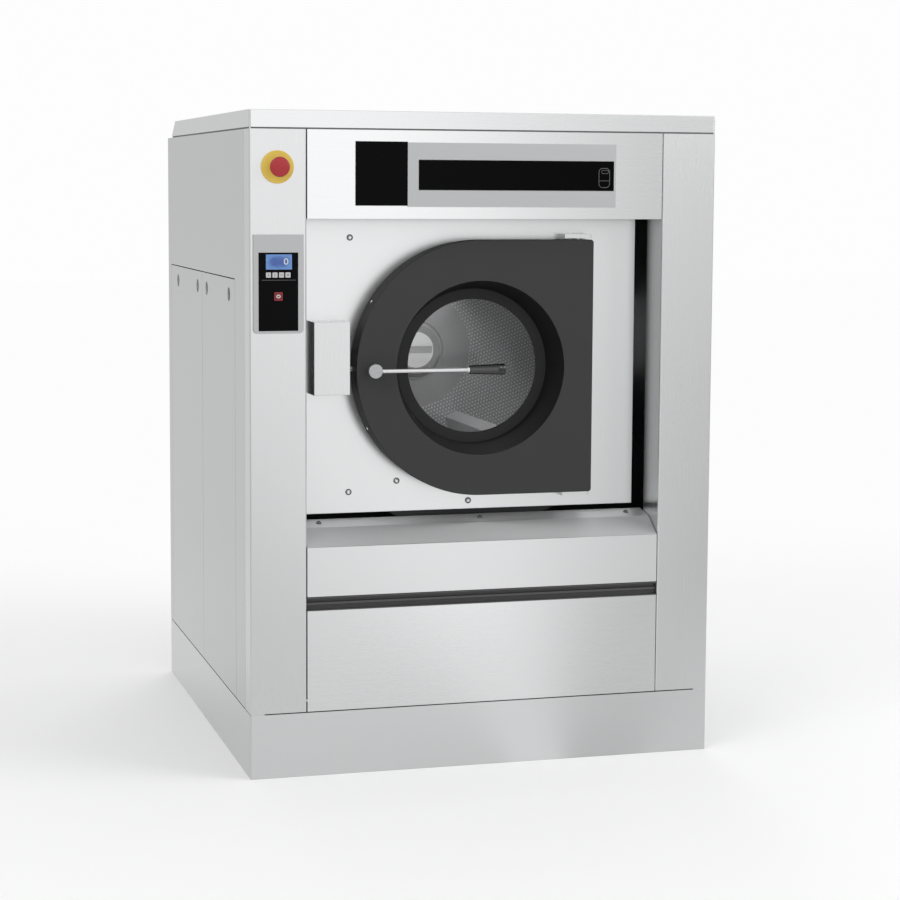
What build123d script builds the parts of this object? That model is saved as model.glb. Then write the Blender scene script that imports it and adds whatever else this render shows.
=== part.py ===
from build123d import *
import os
from math import acos, cos, radians, sin

# A front-loading, soft-mounted washer-extractor. All lengths are millimetres.
# x runs to the right as seen from the front, y from the front to the rear, and z up.
# Pieces are drawn with y = 0 on the front face of the casing. export moves them all by front_y at the
# end, so that the origin lies on the floor under the middle of the whole machine.

# General
sheet = 2
seat_gap = 0.3
running_gap = 0.05
overrun = 5
panel_gap = 2
corner_radius = 4
edge_radius = 1.5

# Casing
case_width = 1356
case_depth = 1440
case_height = 1850
post_width = 159
post_side_return = 75
post_inner_return = 119
side_seam = 1.5
header_height = 243
lid_height = 47.5
lid_gap = 4.5
lid_rear_top_setback = 158
lid_rear_bottom_setback = 85
lid_corner_radius = 6
lid_foot = 40
flange = 30
header_flange = 60

# Plinth and base frame
plinth_height = 180
plinth_sheet = 3
plinth_flange = 40
plinth_seam = 3
frame_plate = 8
frame_flange = 100
cross_width = 150
anchor_radius = 9
anchor_inset = 50

# Side
slot_height = 3
slot_drop = 416
access_front_y = 218
access_rear_length = 607
access_rear_strip = 60
access_flange = 18
joggle = 24
right_groove = 1

# Quarter-turn latches of the access panels
latch_drop = 47
latch_front_inset = 96
latch_split_inset = 83
latch_rear_inset = 142
dish_radius = 20
dish_depth = 8
dish_sheet = 2
wing_width = 12
wing_length = 34
latch_stem_radius = 5
cam_thickness = 4
cam_width = 14
cam_overlap = 8

# Rear
louvre_length = 150
louvre_height = 8
louvre_pitch = 28
louvre_rows = 9
louvre_columns = 5
louvre_column_pitch = 200
louvre_drop = 668
rear_flange = 38
inlet_radius = 16.6
inlet_bore = 12
inlet_reach = 40
inlet_collar_radius = 25
inlet_collar = 6
neck_depth = 1
neck_reach = 2
inlet_count = 3
inlet_pitch = 110
inlet_side_inset = 258
inlet_drop = 238
inlet_body_radius = 22
inlet_body_length = 70
drain_radius = 38
drain_bore = 34
drain_reach = 60
drain_collar_radius = 52
drain_side_inset = 418
drain_rise = 120
drain_tail = 90
gland_side_inset = 198
gland_drop = 198
gland_radius = 18
gland_bore = 10
gland_reach = 30
gland_thread_radius = 12.5
gland_tail = 16

# Ledge, grip groove and service panel
ledge_front_z = 645
ledge_slope_depth = 72
ledge_slope_rise = 45
ledge_rear_depth = 142
ledge_rear_rise = 58
ledge_rear_drop = 60
fascia_bottom_z = 507
grip_height = 40
grip_depth = 22
grip_sheet = 2.5
grip_rib = 6
grip_rib_depth = 9
service_flange = 24
service_axis_back = 9
service_axis_up = 30
service_pin_radius = 5
service_pin_length = 8

# Header face
sign_side_inset = 135
sign_width = 148
sign_rise = 36
sign_height = 176
face_thickness = 2
bezel_side_inset = 141
bezel_rise = 33
bezel_height = 177
window_left_margin = 31
window_right_margin = 6
window_rise = 46
window_height = 84
flap_gap = 1.5
flap_thickness = 3
flap_axis_back = 4
flap_axis_up = 7
flap_pin_radius = 3
flap_pin_length = 6
swing_room = 6
cheek = 4
tray_back_depth = 120
tray_front_y = 12
tray_wall = 3
tray_height = 62
tray_lip_height = 24
tray_rise = 4
tray_cells = 4

# Controls on the left post
control_side_inset = 80
control_width = 140
control_drop = 556
control_height = 270
control_corner = 12
key_room = 1.25
keypad_width = 110
keypad_rise = 7
keypad_height = 214
keypad_thickness = 2
keypad_proud = 0.5
keypad_ledge = 5
display_offset = 35
display_rise = 175
display_width = 72
display_height = 41
display_depth = 4
key_size = 14
key_pitch = 18
key_rise = 153
key_count = 4
key_travel = 1
key_proud = 0.5
key_flange = 1
key_flange_thickness = 1
key_gap = 0.25
key_corner = 1.5
stop_offset = 0.5
stop_rise = 90
stop_size = 23
wiring_hole_width = 90
wiring_hole_height = 180

# Emergency stop
estop_side_inset = 78
estop_drop = 103
estop_collar_radius = 45
estop_collar = 6
estop_stem_radius = 11
estop_stem_back = 30
estop_flange_radius = 16
estop_flange = 4
estop_travel = 6
estop_head_radius = 26
estop_neck_radius = 17
estop_head_depth = 15
estop_room = 10
estop_face = 45
estop_face_radius = 3
estop_socket = 8

# Drum axis and front plate
axis_shift = 3
plate_side_gap = 26
plate_rise = 72
plate_lap = 45
plate_y = 148
plate_thickness = 3
plate_return = 24
mouth_lap = 73.5
screw_radius = 7
screw_height = 4
screw_shares = [(-0.736, 0.887), (-0.742, 0.068), (-0.456, 0.1), (-0.022, 0.028)]

# Tub, saddles and drum
tub_radius = 480
tub_sheet = 4
pulley_rear_room = 205
tub_back_thickness = 15
tub_back_hole = 60
saddle_y = 300
saddle_thickness = 12
saddle_side_gap = 43
saddle_bottom = 482
saddle_shoulder = 760
saddle_top = 1000
saddle_horn = 16
saddle_foot = 110
saddle_foot_thickness = 12
sump_radius = 40
sump_wall = 4
sump_shift = 25
sump_drop = 78
drum_side_gap = 32
drum_sheet = 3
drum_front_gap = 27
drum_rear_gap = 60
drum_mouth_gap = 28
drum_lip = 8
drum_bead_inner = 88
drum_bead_outer = 98
drum_bead = 4
lifter_count = 3
lifter_first_angle = -60
lifter_height = 210
lifter_crest_half_width = 20
lifter_base_half_width = 80
lifter_sheet = 3
lifter_wall_gap = 0.3
lifter_front_slope = 60
hub_cap_radius = 79
hub_cap = 18
hub_cap_edge = 4
hub_slot_height = 22
hub_slot_depth = 3

# Drive
shaft_radius = 45
shaft_flange_radius = 130
shaft_flange = 20
housing_flange_radius = 170
housing_flange = 25
housing_radius = 115
housing_length = 275
bearing_radius = 90
bearing_width = 40
bearing_inset = 8
pulley_radius = 300
pulley_width = 70
pulley_gap = 25
pulley_rim = 30
pulley_hub_radius = 80
pulley_web = 14
pulley_windows = 5
pulley_window_radius = 55
pulley_window_place = 172
shaft_end = 15
belt_count = 4
belt_pitch = 15
belt_width = 10
belt_thickness = 12
groove_depth = 10
groove_gap = 0.5
motor_pulley_radius = 75
motor_z = 500
motor_radius = 130
motor_gap = 20
motor_length = 245
motor_end_cap = 20
motor_cap_radius = 112
motor_foot_height = 30
motor_foot_width = 200
motor_fins = 24
motor_fin_height = 8
motor_fin_width = 5
motor_box_width = 90
motor_box_length = 120
motor_box_height = 45
motor_shaft_radius = 20
mount_plate = 16
mount_half_width = 180
mount_upstand = 120

# Drain valve
valve_size = 120
valve_height = 84
valve_pipe_reach = 50

# Suspension
strut_side_inset = 100
spring_radius = 42
spring_wire = 7
spring_turns = 7
damper_radius = 24
damper_wall = 3
damper_length = 205
damper_rod_radius = 10
damper_rod_lap = 90
damper_seat_radius = 52
damper_seat = 6

# Lock box
lock_width = 103
lock_door_gap = 20.5
lock_below = 68
lock_above = 136
lock_front_y = 50
lock_wall = 3
lock_hole_gap = 2

# Door
door_top_room = 59.5
door_lock_room = 155.5
door_flat = 29.5
door_front_y = 58
door_rear_y = 144
door_band_y = 99
door_wall = 4
door_band_step = 2.5
door_corner = 9
door_edge = 3
door_hinge_chamfer = 14
cone_gap = 42
cone_taper = 26
cone_wall = 4
glass_ring_width = 30
glass_ring_y = 150
glass_thickness = 8
glass_sag = 12
glass_lap = 12
gasket_gap = 26
gasket_depth = 12
hinge_inset = 18
hinge_y = 110
hinge_pin_radius = 8
hinge_pin_length = 34
hinge_left_reach = 59
hinge_right_reach = 23
hinge_front_y = 95
hinge_thickness = 12
hinge_gap = 3
knuckle_height = 60
knuckle_half = 15

# Lever and bolt
lever_inset = 43.5
lever_face_y = 10
hub_radius = 20
hub_thickness = 12
neck_radius = 12
spindle_radius = 8
crank_radius = 18
crank_thickness = 5
rod_radius = 6.5
rod_length = 271
grip_length = 105
grip_small_radius = 13
grip_large_radius = 16.5
grip_lap = 20
bolt_radius = 8
bolt_y = 112
bolt_lap = 10
bolt_tip_gap = 0.5
bolt_guide = 26
bolt_guide_half = 16

# Worked out from the sizes above
half_width = case_width / 2
recess_half = half_width - post_width
panel_half = recess_half - panel_gap
side_inner = half_width - sheet
post_bottom = plinth_height + plinth_seam
post_top = case_height - lid_height - lid_gap
recess_top = post_top - header_height
front_y = estop_face - (estop_face + case_depth + drain_reach) / 2
seam_y = post_side_return + side_seam
slot_z = post_top - slot_drop
access_rear_y = case_depth - access_rear_strip
access_split_y = access_rear_y - access_rear_length
latch_z = slot_z - latch_drop
latch_ys = (access_front_y + latch_front_inset, access_split_y - latch_split_inset,
            access_split_y + latch_split_inset, access_rear_y - latch_rear_inset)
louvre_z = post_top - louvre_drop
inlet_x = inlet_side_inset - half_width
inlet_z = post_top - inlet_drop
drain_x = half_width - drain_side_inset
drain_z = plinth_height + drain_rise
gland_x = half_width - gland_side_inset
gland_z = post_top - gland_drop
service_bottom = post_bottom
service_top = fascia_bottom_z - grip_height
service_axis_z = service_bottom + service_axis_up
grip_half = panel_half
sign_left = sign_side_inset - panel_half
sign_right = sign_left + sign_width
sign_bottom = recess_top + sign_rise
sign_top = sign_bottom + sign_height
bezel_right = panel_half - bezel_side_inset
bezel_bottom = recess_top + bezel_rise
bezel_top = bezel_bottom + bezel_height
window_left = sign_right + window_left_margin
window_right = bezel_right - window_right_margin
window_bottom = bezel_bottom + window_rise
window_top = window_bottom + window_height
flap_bottom = window_bottom + flap_gap
flap_axis_z = flap_bottom + flap_axis_up
control_x = control_side_inset - half_width
control_bottom = post_top - control_drop
keypad_bottom = control_bottom + keypad_rise
display_left = control_x - display_offset
display_bottom = control_bottom + display_rise
key_bottom = control_bottom + key_rise
key_depth = key_gap + key_flange_thickness + key_travel + key_room
control_thickness = keypad_thickness - keypad_proud + key_depth
stop_x = control_x - stop_offset
stop_bottom = control_bottom + stop_rise
estop_x = estop_side_inset - half_width
estop_z = post_top - estop_drop
estop_head_back_y = -(estop_collar + estop_travel + estop_room)
axis_z = (recess_top + ledge_front_z + ledge_rear_rise) / 2 + axis_shift
plate_half_width = recess_half - plate_side_gap
plate_bottom = ledge_front_z + plate_rise
plate_top = recess_top + plate_lap
plate_back = plate_y + plate_thickness
door_radius = min(recess_half - door_lock_room, recess_top - axis_z - door_top_room)
door_right = door_radius - door_flat
hinge_x = door_right - hinge_inset
hinge_left = hinge_x - hinge_left_reach
hinge_right = hinge_x + hinge_right_reach
lock_right = -door_radius - lock_door_gap
lock_left = lock_right - lock_width
lock_bottom = axis_z - lock_below
lock_top = axis_z + lock_above
lever_x = lever_inset - door_radius
rod_end_x = lever_x + rod_length
grip_end_x = rod_end_x + grip_length
bolt_inner_x = lever_x + bolt_lap
bolt_tip_x = lock_right + bolt_tip_gap
mouth_radius = door_radius - mouth_lap
gasket_radius = mouth_radius - gasket_gap
cone_front_radius = mouth_radius - cone_gap
cone_rear_radius = cone_front_radius - cone_taper
glass_ring_radius = cone_rear_radius - glass_ring_width
pulley_rear_y = case_depth - pulley_rear_room
pulley_front_y = pulley_rear_y - pulley_width
pulley_mid_y = (pulley_front_y + pulley_rear_y) / 2
housing_rear_y = pulley_front_y - pulley_gap
housing_front_y = housing_rear_y - housing_length
tub_back_y = housing_front_y
tub_rear_y = tub_back_y - tub_back_thickness
tub_outer = tub_radius + tub_sheet
saddle_half_width = half_width - saddle_side_gap
saddle_top_half_width = tub_outer + saddle_horn
sump_y = (saddle_y + tub_rear_y) / 2 + sump_shift
sump_bottom = axis_z - tub_outer - sump_drop
drum_radius = tub_radius - drum_side_gap
drum_front_y = plate_back + drum_front_gap
drum_back_y = tub_rear_y - drum_rear_gap
drum_wall_rear_y = drum_back_y + drum_sheet
drum_mouth_radius = cone_rear_radius + drum_mouth_gap
lifter_crest = drum_radius - lifter_height
motor_front_y = tub_back_y + motor_gap
motor_rear_y = motor_front_y + motor_length
belt_ys = [pulley_mid_y + belt_pitch * (i - (belt_count - 1) / 2) for i in range(belt_count)]
frame_top = plinth_height - plinth_sheet
strut_x = half_width - strut_side_inset
strut_ys = (saddle_y + saddle_thickness / 2, tub_rear_y + tub_back_thickness / 2)


# Shapes used by many pieces
def block(x0, x1, y0, y1, z0, z1):
    """A box between two corners."""
    return Pos((x0 + x1) / 2, (y0 + y1) / 2, (z0 + z1) / 2) * Box(x1 - x0, y1 - y0, z1 - z0)


def across(face, x, z, y0, y1):
    """A sketch drawn in x and z about a centre, made solid from y0 to y1."""
    plane = Plane(origin=(x, y0, z), x_dir=(1, 0, 0), z_dir=(0, -1, 0))
    return extrude(plane * face, amount=y1 - y0, dir=(0, 1, 0))


def along_x(face, x0, x1):
    """A section drawn in y and z, made solid from x0 to x1."""
    plane = Plane(origin=(x0, 0, 0), x_dir=(0, 1, 0), z_dir=(1, 0, 0))
    return extrude(plane * face, amount=x1 - x0, dir=(1, 0, 0))


def disc(x, z, radius, y0, y1):
    """A cylinder along y."""
    return across(Circle(radius), x, z, y0, y1)


def ring(x, z, outer, inner, y0, y1):
    """A tube along y."""
    return across(Circle(outer) - Circle(inner), x, z, y0, y1)


def upright(x, y, radius, z0, z1):
    """A cylinder along z."""
    return extrude(Pos(x, y, z0) * Circle(radius), amount=z1 - z0, dir=(0, 0, 1))


def bar(y, z, radius, x0, x1):
    """A cylinder along x."""
    return along_x(Pos(y, z) * Circle(radius), x0, x1)


def turned(x, z, *points):
    """A profile of (radius, y) points, turned about an axis along y."""
    plane = Plane(origin=(x, 0, z), x_dir=(1, 0, 0), z_dir=(0, 0, 1))
    return revolve(plane * Polygon(*points), Axis((x, 0, z), (0, 1, 0)))


def rounded(width, height, radius):
    return RectangleRounded(width, height, radius)


def front_edges(solid, y):
    """The edges that lie in one plane across y."""
    return solid.edges().filter_by_position(Axis.Y, y - seat_gap / 2, y + seat_gap / 2)


def export(name, *pieces):
    solids = [s for piece in pieces for s in piece.solids()]
    group = Compound(children=solids) if len(solids) > 1 else solids[0]
    export_step(Pos(0, front_y, 0) * group, f"parts/{name}.step")


# Base frame and plinth
def base_frame():
    """A ring of channel with two cross members, open at the floor, and one anchor hole in each corner."""
    x = half_width - plinth_sheet - seat_gap
    y0 = plinth_sheet + seat_gap
    y1 = case_depth - y0
    low, high = frame_plate, frame_top - frame_plate
    frame = block(-x, x, y0, y1, 0, frame_top)
    frame -= block(-x + frame_plate, x - frame_plate, y0 + frame_plate, y1 - frame_plate, low, high)
    frame -= block(-x + frame_flange, x - frame_flange, y0 + frame_flange, y1 - frame_flange,
                   -overrun, frame_top + overrun)
    for y in strut_ys:
        half = cross_width / 2
        beam = block(-x + frame_plate, x - frame_plate, y - half, y + half, low, frame_top)
        beam -= block(-x, x, y - half + frame_plate, y + half - frame_plate, -overrun, high)
        frame += beam
    ax = x - anchor_inset
    for px in (-ax, ax):
        for py in (y0 + anchor_inset, y1 - anchor_inset):
            frame -= upright(px, py, anchor_radius, -overrun, low + overrun)
    return frame


def plinth():
    x, y = half_width, case_depth
    t = plinth_sheet
    skirt = block(-x, x, 0, y, 0, plinth_height)
    skirt = fillet(skirt.edges().filter_by(Axis.Z), corner_radius)
    skirt -= block(-x + t, x - t, t, y - t, -overrun, plinth_height - t)
    skirt -= block(-x + plinth_flange, x - plinth_flange, plinth_flange, y - plinth_flange,
                   -overrun, plinth_height + overrun)
    return skirt


# Front posts
def front_post(side):
    """A folded post: front face, a return along the side and a deeper return into the recess."""
    outer, inner = side * half_width, side * recess_half
    x0, x1 = min(outer, inner), max(outer, inner)
    depth = max(post_side_return, post_inner_return)
    post = block(x0, x1, 0, depth, post_bottom, post_top)
    post = fillet(front_edges(post, 0).filter_by(Axis.Z), corner_radius)
    post -= block(x0 + sheet, x1 - sheet, sheet, depth + overrun, post_bottom + sheet, post_top - sheet)
    beside = sorted((outer + side * overrun, inner + side * sheet))
    post -= block(*beside, post_side_return, depth + overrun, post_bottom - overrun, post_top + overrun)
    foot = sorted((outer - side * plinth_flange, outer - side * (sheet + seat_gap)))
    post += block(*foot, sheet, post_side_return - sheet, plinth_height, post_bottom + sheet)
    bore_x = sorted((inner - side * overrun, inner + side * (service_pin_length + overrun)))
    boss = sorted((inner + side * sheet, inner + side * (service_pin_length + sheet)))
    post += bar(service_axis_back, service_axis_z, service_pin_radius * 2 - sheet, *boss) \
        - block(x0, x1, -overrun, sheet, post_bottom, post_top)
    post -= bar(service_axis_back, service_axis_z, service_pin_radius + running_gap, *bore_x)
    return post


def left_front_post():
    post = front_post(-1)
    post -= disc(estop_x, estop_z, estop_stem_radius + running_gap, -overrun, sheet + overrun)
    post -= across(Rectangle(wiring_hole_width, wiring_hole_height), control_x,
                   control_bottom + control_height / 2, -overrun, sheet + overrun)
    return post


# Header, its plates, the flap and the tray
def header_panel():
    """The panel between the posts over the recess, with flanges, and lugs that reach the posts."""
    x = panel_half
    panel = block(-x, x, 0, header_flange, recess_top, post_top)
    panel -= block(-x + sheet, x - sheet, sheet, header_flange + overrun,
                   recess_top + sheet, post_top - sheet)
    panel -= block(window_left - swing_room, window_right + swing_room, -overrun, sheet + overrun,
                   window_bottom - swing_room, window_top + swing_room)
    for side in (-1, 1):
        reach = sorted((side * (x - sheet), side * recess_half))
        panel += block(*reach, header_flange / 2, header_flange, recess_top + flange, post_top - flange)
    return panel


def sign_plate():
    return block(sign_left, sign_right - seat_gap, -face_thickness, 0, sign_bottom, sign_top)


def dispenser_bezel():
    plate = block(sign_right, bezel_right, -face_thickness, 0, bezel_bottom, bezel_top)
    return plate - block(window_left, window_right, -overrun, overrun, window_bottom, window_top)


def dispenser_flap():
    """The black door of the dispenser, with a stiffening bar whose ends are its hinge pins."""
    x0, x1 = window_left + flap_gap, window_right - flap_gap
    flap = block(x0, x1, -face_thickness, flap_thickness - face_thickness, flap_bottom, window_top - flap_gap)
    rim = block(x0, x1, 0, flap_axis_back, flap_axis_z - flap_pin_radius, flap_axis_z + flap_pin_radius)
    pin = bar(flap_axis_back, flap_axis_z, flap_pin_radius, x0 - flap_pin_length, x1 + flap_pin_length)
    return flap + rim + pin


def dispenser_tray():
    """A tray of compartments behind the flap. Its cheeks carry the flap's pins."""
    x0 = window_left - swing_room + seat_gap
    x1 = window_right + swing_room - seat_gap
    z0 = window_bottom - swing_room + tray_rise
    y0, y1 = tray_front_y, tray_front_y + tray_back_depth
    tray = block(x0, x1, y0, y1, z0, z0 + tray_height)
    inside = x1 - x0 - tray_wall * (tray_cells + 1)
    cell = inside / tray_cells
    for i in range(tray_cells):
        left = x0 + tray_wall + i * (cell + tray_wall)
        tray -= block(left, left + cell, y0 + tray_wall, y1 - tray_wall,
                      z0 + tray_wall, z0 + tray_height + overrun)
    tray -= block(x0 - overrun, x1 + overrun, y0 - overrun, y0 + tray_wall, z0 + tray_lip_height,
                  z0 + tray_height + overrun)
    for a, b, wing in ((x0, x0 + cheek, x0 - flange), (x1 - cheek, x1, x1 + flange)):
        tray += block(a, b, seat_gap, y0 + tray_wall, z0, z0 + tray_height)
        edge = sorted((wing, (a + b) / 2))
        tray += block(*edge, sheet, sheet * 2, z0, z0 + tray_height)
        tray -= bar(flap_axis_back, flap_axis_z, flap_pin_radius + running_gap, a - overrun, b + overrun)
    return tray


# Lid and panels
def top_lid():
    """A shallow shell with a sloped rear, on four feet."""
    x = half_width
    z0 = case_height - lid_height
    rear_low = case_depth - lid_rear_bottom_setback
    rear_high = case_depth - lid_rear_top_setback
    lid = along_x(Polygon((0, z0), (0, case_height), (rear_high, case_height), (rear_low, z0)), -x, x)
    lid = fillet(front_edges(lid, 0).filter_by(Axis.Z), lid_corner_radius)
    top_edges = lid.edges().filter_by_position(Axis.Z, case_height - seat_gap, case_height + seat_gap)
    lid = fillet(top_edges, edge_radius)
    slope = (lid_rear_top_setback - lid_rear_bottom_setback) / lid_height * sheet
    top = case_height - sheet
    inside = Polygon((sheet, z0 - overrun), (sheet, top), (rear_high - sheet, top),
                     (rear_low - sheet - slope, z0), (rear_low - sheet - slope, z0 - overrun))
    lid -= along_x(inside, -x + sheet, x - sheet)
    for side in (-1, 1):
        foot_x = sorted((side * (x - sheet), side * (x - lid_foot)))
        lid += block(*foot_x, sheet, lid_foot, post_top, top)
        lid += block(*foot_x, rear_high - lid_foot * 2, rear_high - lid_foot, post_top, top)
    return lid


def side_sheet(side):
    """The flat sheet of one side, with a joggle behind the post, a top flange and a foot."""
    outer, inner = side * half_width, side * side_inner
    wall = block(*sorted((outer, inner)), seam_y, case_depth, post_bottom, post_top)
    deep = inner - side * sheet
    wall += block(*sorted((inner, deep)), post_side_return - joggle, seam_y + joggle,
                  post_bottom + sheet + seat_gap, post_top - sheet - seat_gap)
    front_foot = (seam_y + seat_gap, seam_y + joggle)
    rear_foot = (case_depth - rear_flange * 2, case_depth - rear_flange - sheet)
    for y0, y1 in (front_foot, rear_foot):
        wall += block(*sorted((inner, deep)), y0, y1, plinth_height, post_top - sheet - seat_gap)
    lip_end = case_depth - lid_rear_top_setback
    wall += block(*sorted((inner, inner - side * flange)), post_inner_return, lip_end,
                  post_top - sheet, post_top)
    return wall


def left_side_panel():
    """The left side, cut out for the two access panels below the slot."""
    top = slot_z + slot_height / 2
    return side_sheet(-1) - block(-half_width - overrun, -side_inner, access_front_y, access_rear_y,
                                  post_bottom - overrun, top) \
        - block(-side_inner - overrun, -side_inner + flange, access_front_y, access_rear_y,
                plinth_height - overrun, top)


def right_side_panel():
    """The right side is one sheet, with the slot line and the panel seams pressed into it."""
    panel = side_sheet(1)
    floor_x = half_width - right_groove
    z1 = slot_z + slot_height / 2
    panel -= block(floor_x, half_width + overrun, access_front_y, access_rear_y, z1 - slot_height, z1)
    for y in (access_front_y, access_split_y, access_rear_y):
        panel -= block(floor_x, half_width + overrun, y - panel_gap / 2, y + panel_gap / 2,
                       post_bottom - overrun, z1)
    return panel


def access_panel(y0, y1, latches):
    """A lift-off panel with folded sides, resting on the plinth, with a round dish for each latch."""
    z0, z1 = post_bottom, slot_z - slot_height / 2
    panel = block(-half_width, -side_inner, y0, y1, z0, z1)
    for a, b in ((y0, y0 + sheet), (y1 - sheet, y1)):
        panel += block(-side_inner, -side_inner + access_flange, a, b, plinth_height, z1)
    for y in latches:
        panel += bar(y, latch_z, dish_radius + dish_sheet, -half_width + sheet,
                     -half_width + dish_depth + dish_sheet)
        panel -= bar(y, latch_z, dish_radius, -half_width - overrun, -half_width + dish_depth)
        panel -= bar(y, latch_z, latch_stem_radius + running_gap, -half_width, -half_width + dish_depth * 2)
    return panel


def quarter_turn_latch(y):
    """A wing in its dish, a stem through the panel, and a cam that hooks behind the sheet above."""
    x0 = -half_width + seat_gap
    dish_floor = -half_width + dish_depth
    behind = dish_floor + dish_sheet + seat_gap
    wing = block(x0, dish_floor - seat_gap, y - wing_width / 2, y + wing_width / 2,
                 latch_z - wing_length / 2, latch_z + wing_length / 2)
    wing = fillet(wing.edges().filter_by(Axis.X), wing_width / 3)
    stem = bar(y, latch_z, latch_stem_radius, dish_floor - sheet, behind + cam_thickness)
    cam = block(behind, behind + cam_thickness, y - cam_width / 2, y + cam_width / 2,
                latch_z - cam_width / 2, slot_z + slot_height / 2 + cam_overlap)
    return wing + stem + cam


def rear_panel():
    """The louvred back, with flanges that sit against the side sheets and the holes for the connections."""
    x = side_inner - sheet - seat_gap
    y1 = case_depth
    top, low = post_top - sheet - seat_gap, post_bottom
    behind = y1 + overrun
    back = block(-x, x, y1 - rear_flange, y1, low, top)
    back -= block(-x + sheet, x - sheet, y1 - rear_flange - overrun, y1 - sheet, low - overrun, top - sheet)
    back += block(-side_inner, side_inner, y1 - sheet, y1, low, post_top)
    back += block(-side_inner, side_inner, y1 - lid_rear_top_setback, y1 - sheet, post_top - sheet, post_top)
    for side in (-1, 1):
        foot = sorted((side * (x - plinth_flange), side * (x - sheet)))
        back += block(*foot, y1 - rear_flange, y1 - sheet, plinth_height, low + sheet)
    for i in range(louvre_columns):
        for j in range(louvre_rows):
            back -= across(Rectangle(louvre_length, louvre_height),
                           louvre_column_pitch * (i - (louvre_columns - 1) / 2),
                           louvre_z + louvre_pitch * (j - (louvre_rows - 1) / 2), y1 - sheet * 2, behind)
    for i in range(inlet_count):
        back -= disc(inlet_x + i * inlet_pitch, inlet_z, inlet_radius + seat_gap, y1 - sheet * 2, behind)
    back -= disc(drain_x, drain_z, drain_radius + seat_gap, y1 - sheet * 2, behind)
    return back - disc(gland_x, gland_z, gland_thread_radius + seat_gap, y1 - sheet * 2, behind)


def water_inlets():
    """Three solenoid valves: a spigot with a neck in the rear panel, its collar, and the body inside."""
    y1 = case_depth
    inside = y1 - sheet - inlet_collar
    valves = []
    for i in range(inlet_count):
        x = inlet_x + i * inlet_pitch
        valve = disc(x, inlet_z, inlet_radius, y1 + neck_reach, y1 + inlet_reach)
        valve += disc(x, inlet_z, inlet_radius - neck_depth, inside, y1 + neck_reach)
        valve += disc(x, inlet_z, inlet_collar_radius, inside, y1 - sheet)
        valve += disc(x, inlet_z, inlet_body_radius, inside - inlet_body_length, inside)
        valve += upright(x, inside - inlet_body_length / 2, inlet_bore, inlet_z, inlet_z + inlet_body_length)
        valve -= disc(x, inlet_z, inlet_bore, inside - inlet_body_length / 2, y1 + inlet_reach + overrun)
        valves.append(valve)
    return valves


def drain_outlet():
    """The drain pipe, with a neck in the rear panel and a collar inside it."""
    y1 = case_depth
    pipe = disc(drain_x, drain_z, drain_radius - neck_depth, y1 - drain_tail, y1 + neck_reach)
    pipe += disc(drain_x, drain_z, drain_radius, y1 + neck_reach, y1 + drain_reach)
    pipe += disc(drain_x, drain_z, drain_collar_radius, y1 - sheet - inlet_collar, y1 - sheet)
    return pipe - disc(drain_x, drain_z, drain_bore, y1 - drain_tail - overrun, y1 + drain_reach + overrun)


def cable_gland():
    y1 = case_depth
    gland = across(RegularPolygon(gland_radius, 6), gland_x, gland_z, y1, y1 + gland_reach / 2)
    gland += disc(gland_x, gland_z, gland_radius * cos(radians(30)), y1 + gland_reach / 2, y1 + gland_reach)
    gland += disc(gland_x, gland_z, gland_thread_radius, y1 - sheet - gland_tail, y1)
    return gland - disc(gland_x, gland_z, gland_bore, y1 - gland_tail - overrun, y1 + gland_reach + overrun)


# Ledge, grip groove and service panel
def ledge_panel():
    """The fascia and the sloped ledge as one folded sheet, with closed ends that reach the posts."""
    t = sheet
    low, top = fascia_bottom_z, ledge_front_z
    bend, bend_z = ledge_slope_depth, top + ledge_slope_rise
    rear, rear_z, tail_z = ledge_rear_depth, top + ledge_rear_rise, top - ledge_rear_drop
    outline = Polygon((0, low), (0, top), (bend, bend_z), (rear, rear_z), (rear, tail_z), (rear - t, tail_z),
                      (rear - t, rear_z - t), (bend, bend_z - t), (t, top - t / 2), (t, low + t),
                      (flange, low + t), (flange, low))
    ledge = along_x(outline, -panel_half, panel_half)
    end = Polygon((0, low), (0, top), (bend, bend_z), (post_inner_return, bend_z), (post_inner_return, low))
    for side in (-1, 1):
        ledge += along_x(end, *sorted((side * (panel_half - t), side * panel_half)))
        ledge += block(*sorted((side * (panel_half - t), side * recess_half)), flange,
                       post_inner_return - flange, low + flange, top - flange)
    return ledge


def grip_channel():
    """A dark channel along the top of the service panel, open to the front, with a rib half way up."""
    t = grip_sheet
    z0, z1 = service_top, fascia_bottom_z - panel_gap
    channel = block(-grip_half, grip_half, 0, grip_depth, z0, z1)
    channel -= block(-grip_half - overrun, grip_half + overrun, -overrun, grip_depth - t, z0 + t, z1 - t)
    mid = (z0 + z1) / 2
    return channel + block(-grip_half, grip_half, grip_depth - t - grip_rib_depth, grip_depth - t,
                           mid - grip_rib / 2, mid + grip_rib / 2)


def service_panel():
    """The lower front panel. Pins at its lower ends turn in the posts."""
    x = panel_half
    panel = block(-x, x, 0, service_flange, service_bottom, service_top)
    panel -= block(-x + sheet, x - sheet, sheet, service_flange + overrun, service_bottom - overrun,
                   service_top - sheet)
    panel -= block(-x - overrun, x + overrun, service_axis_back * 2, service_flange + overrun,
                   service_bottom - overrun, service_axis_z + service_axis_up)
    for side in (-1, 1):
        ends = sorted((side * (x - sheet * 2), side * (recess_half + service_pin_length)))
        panel += bar(service_axis_back, service_axis_z, service_pin_radius, *ends)
    return panel


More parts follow.
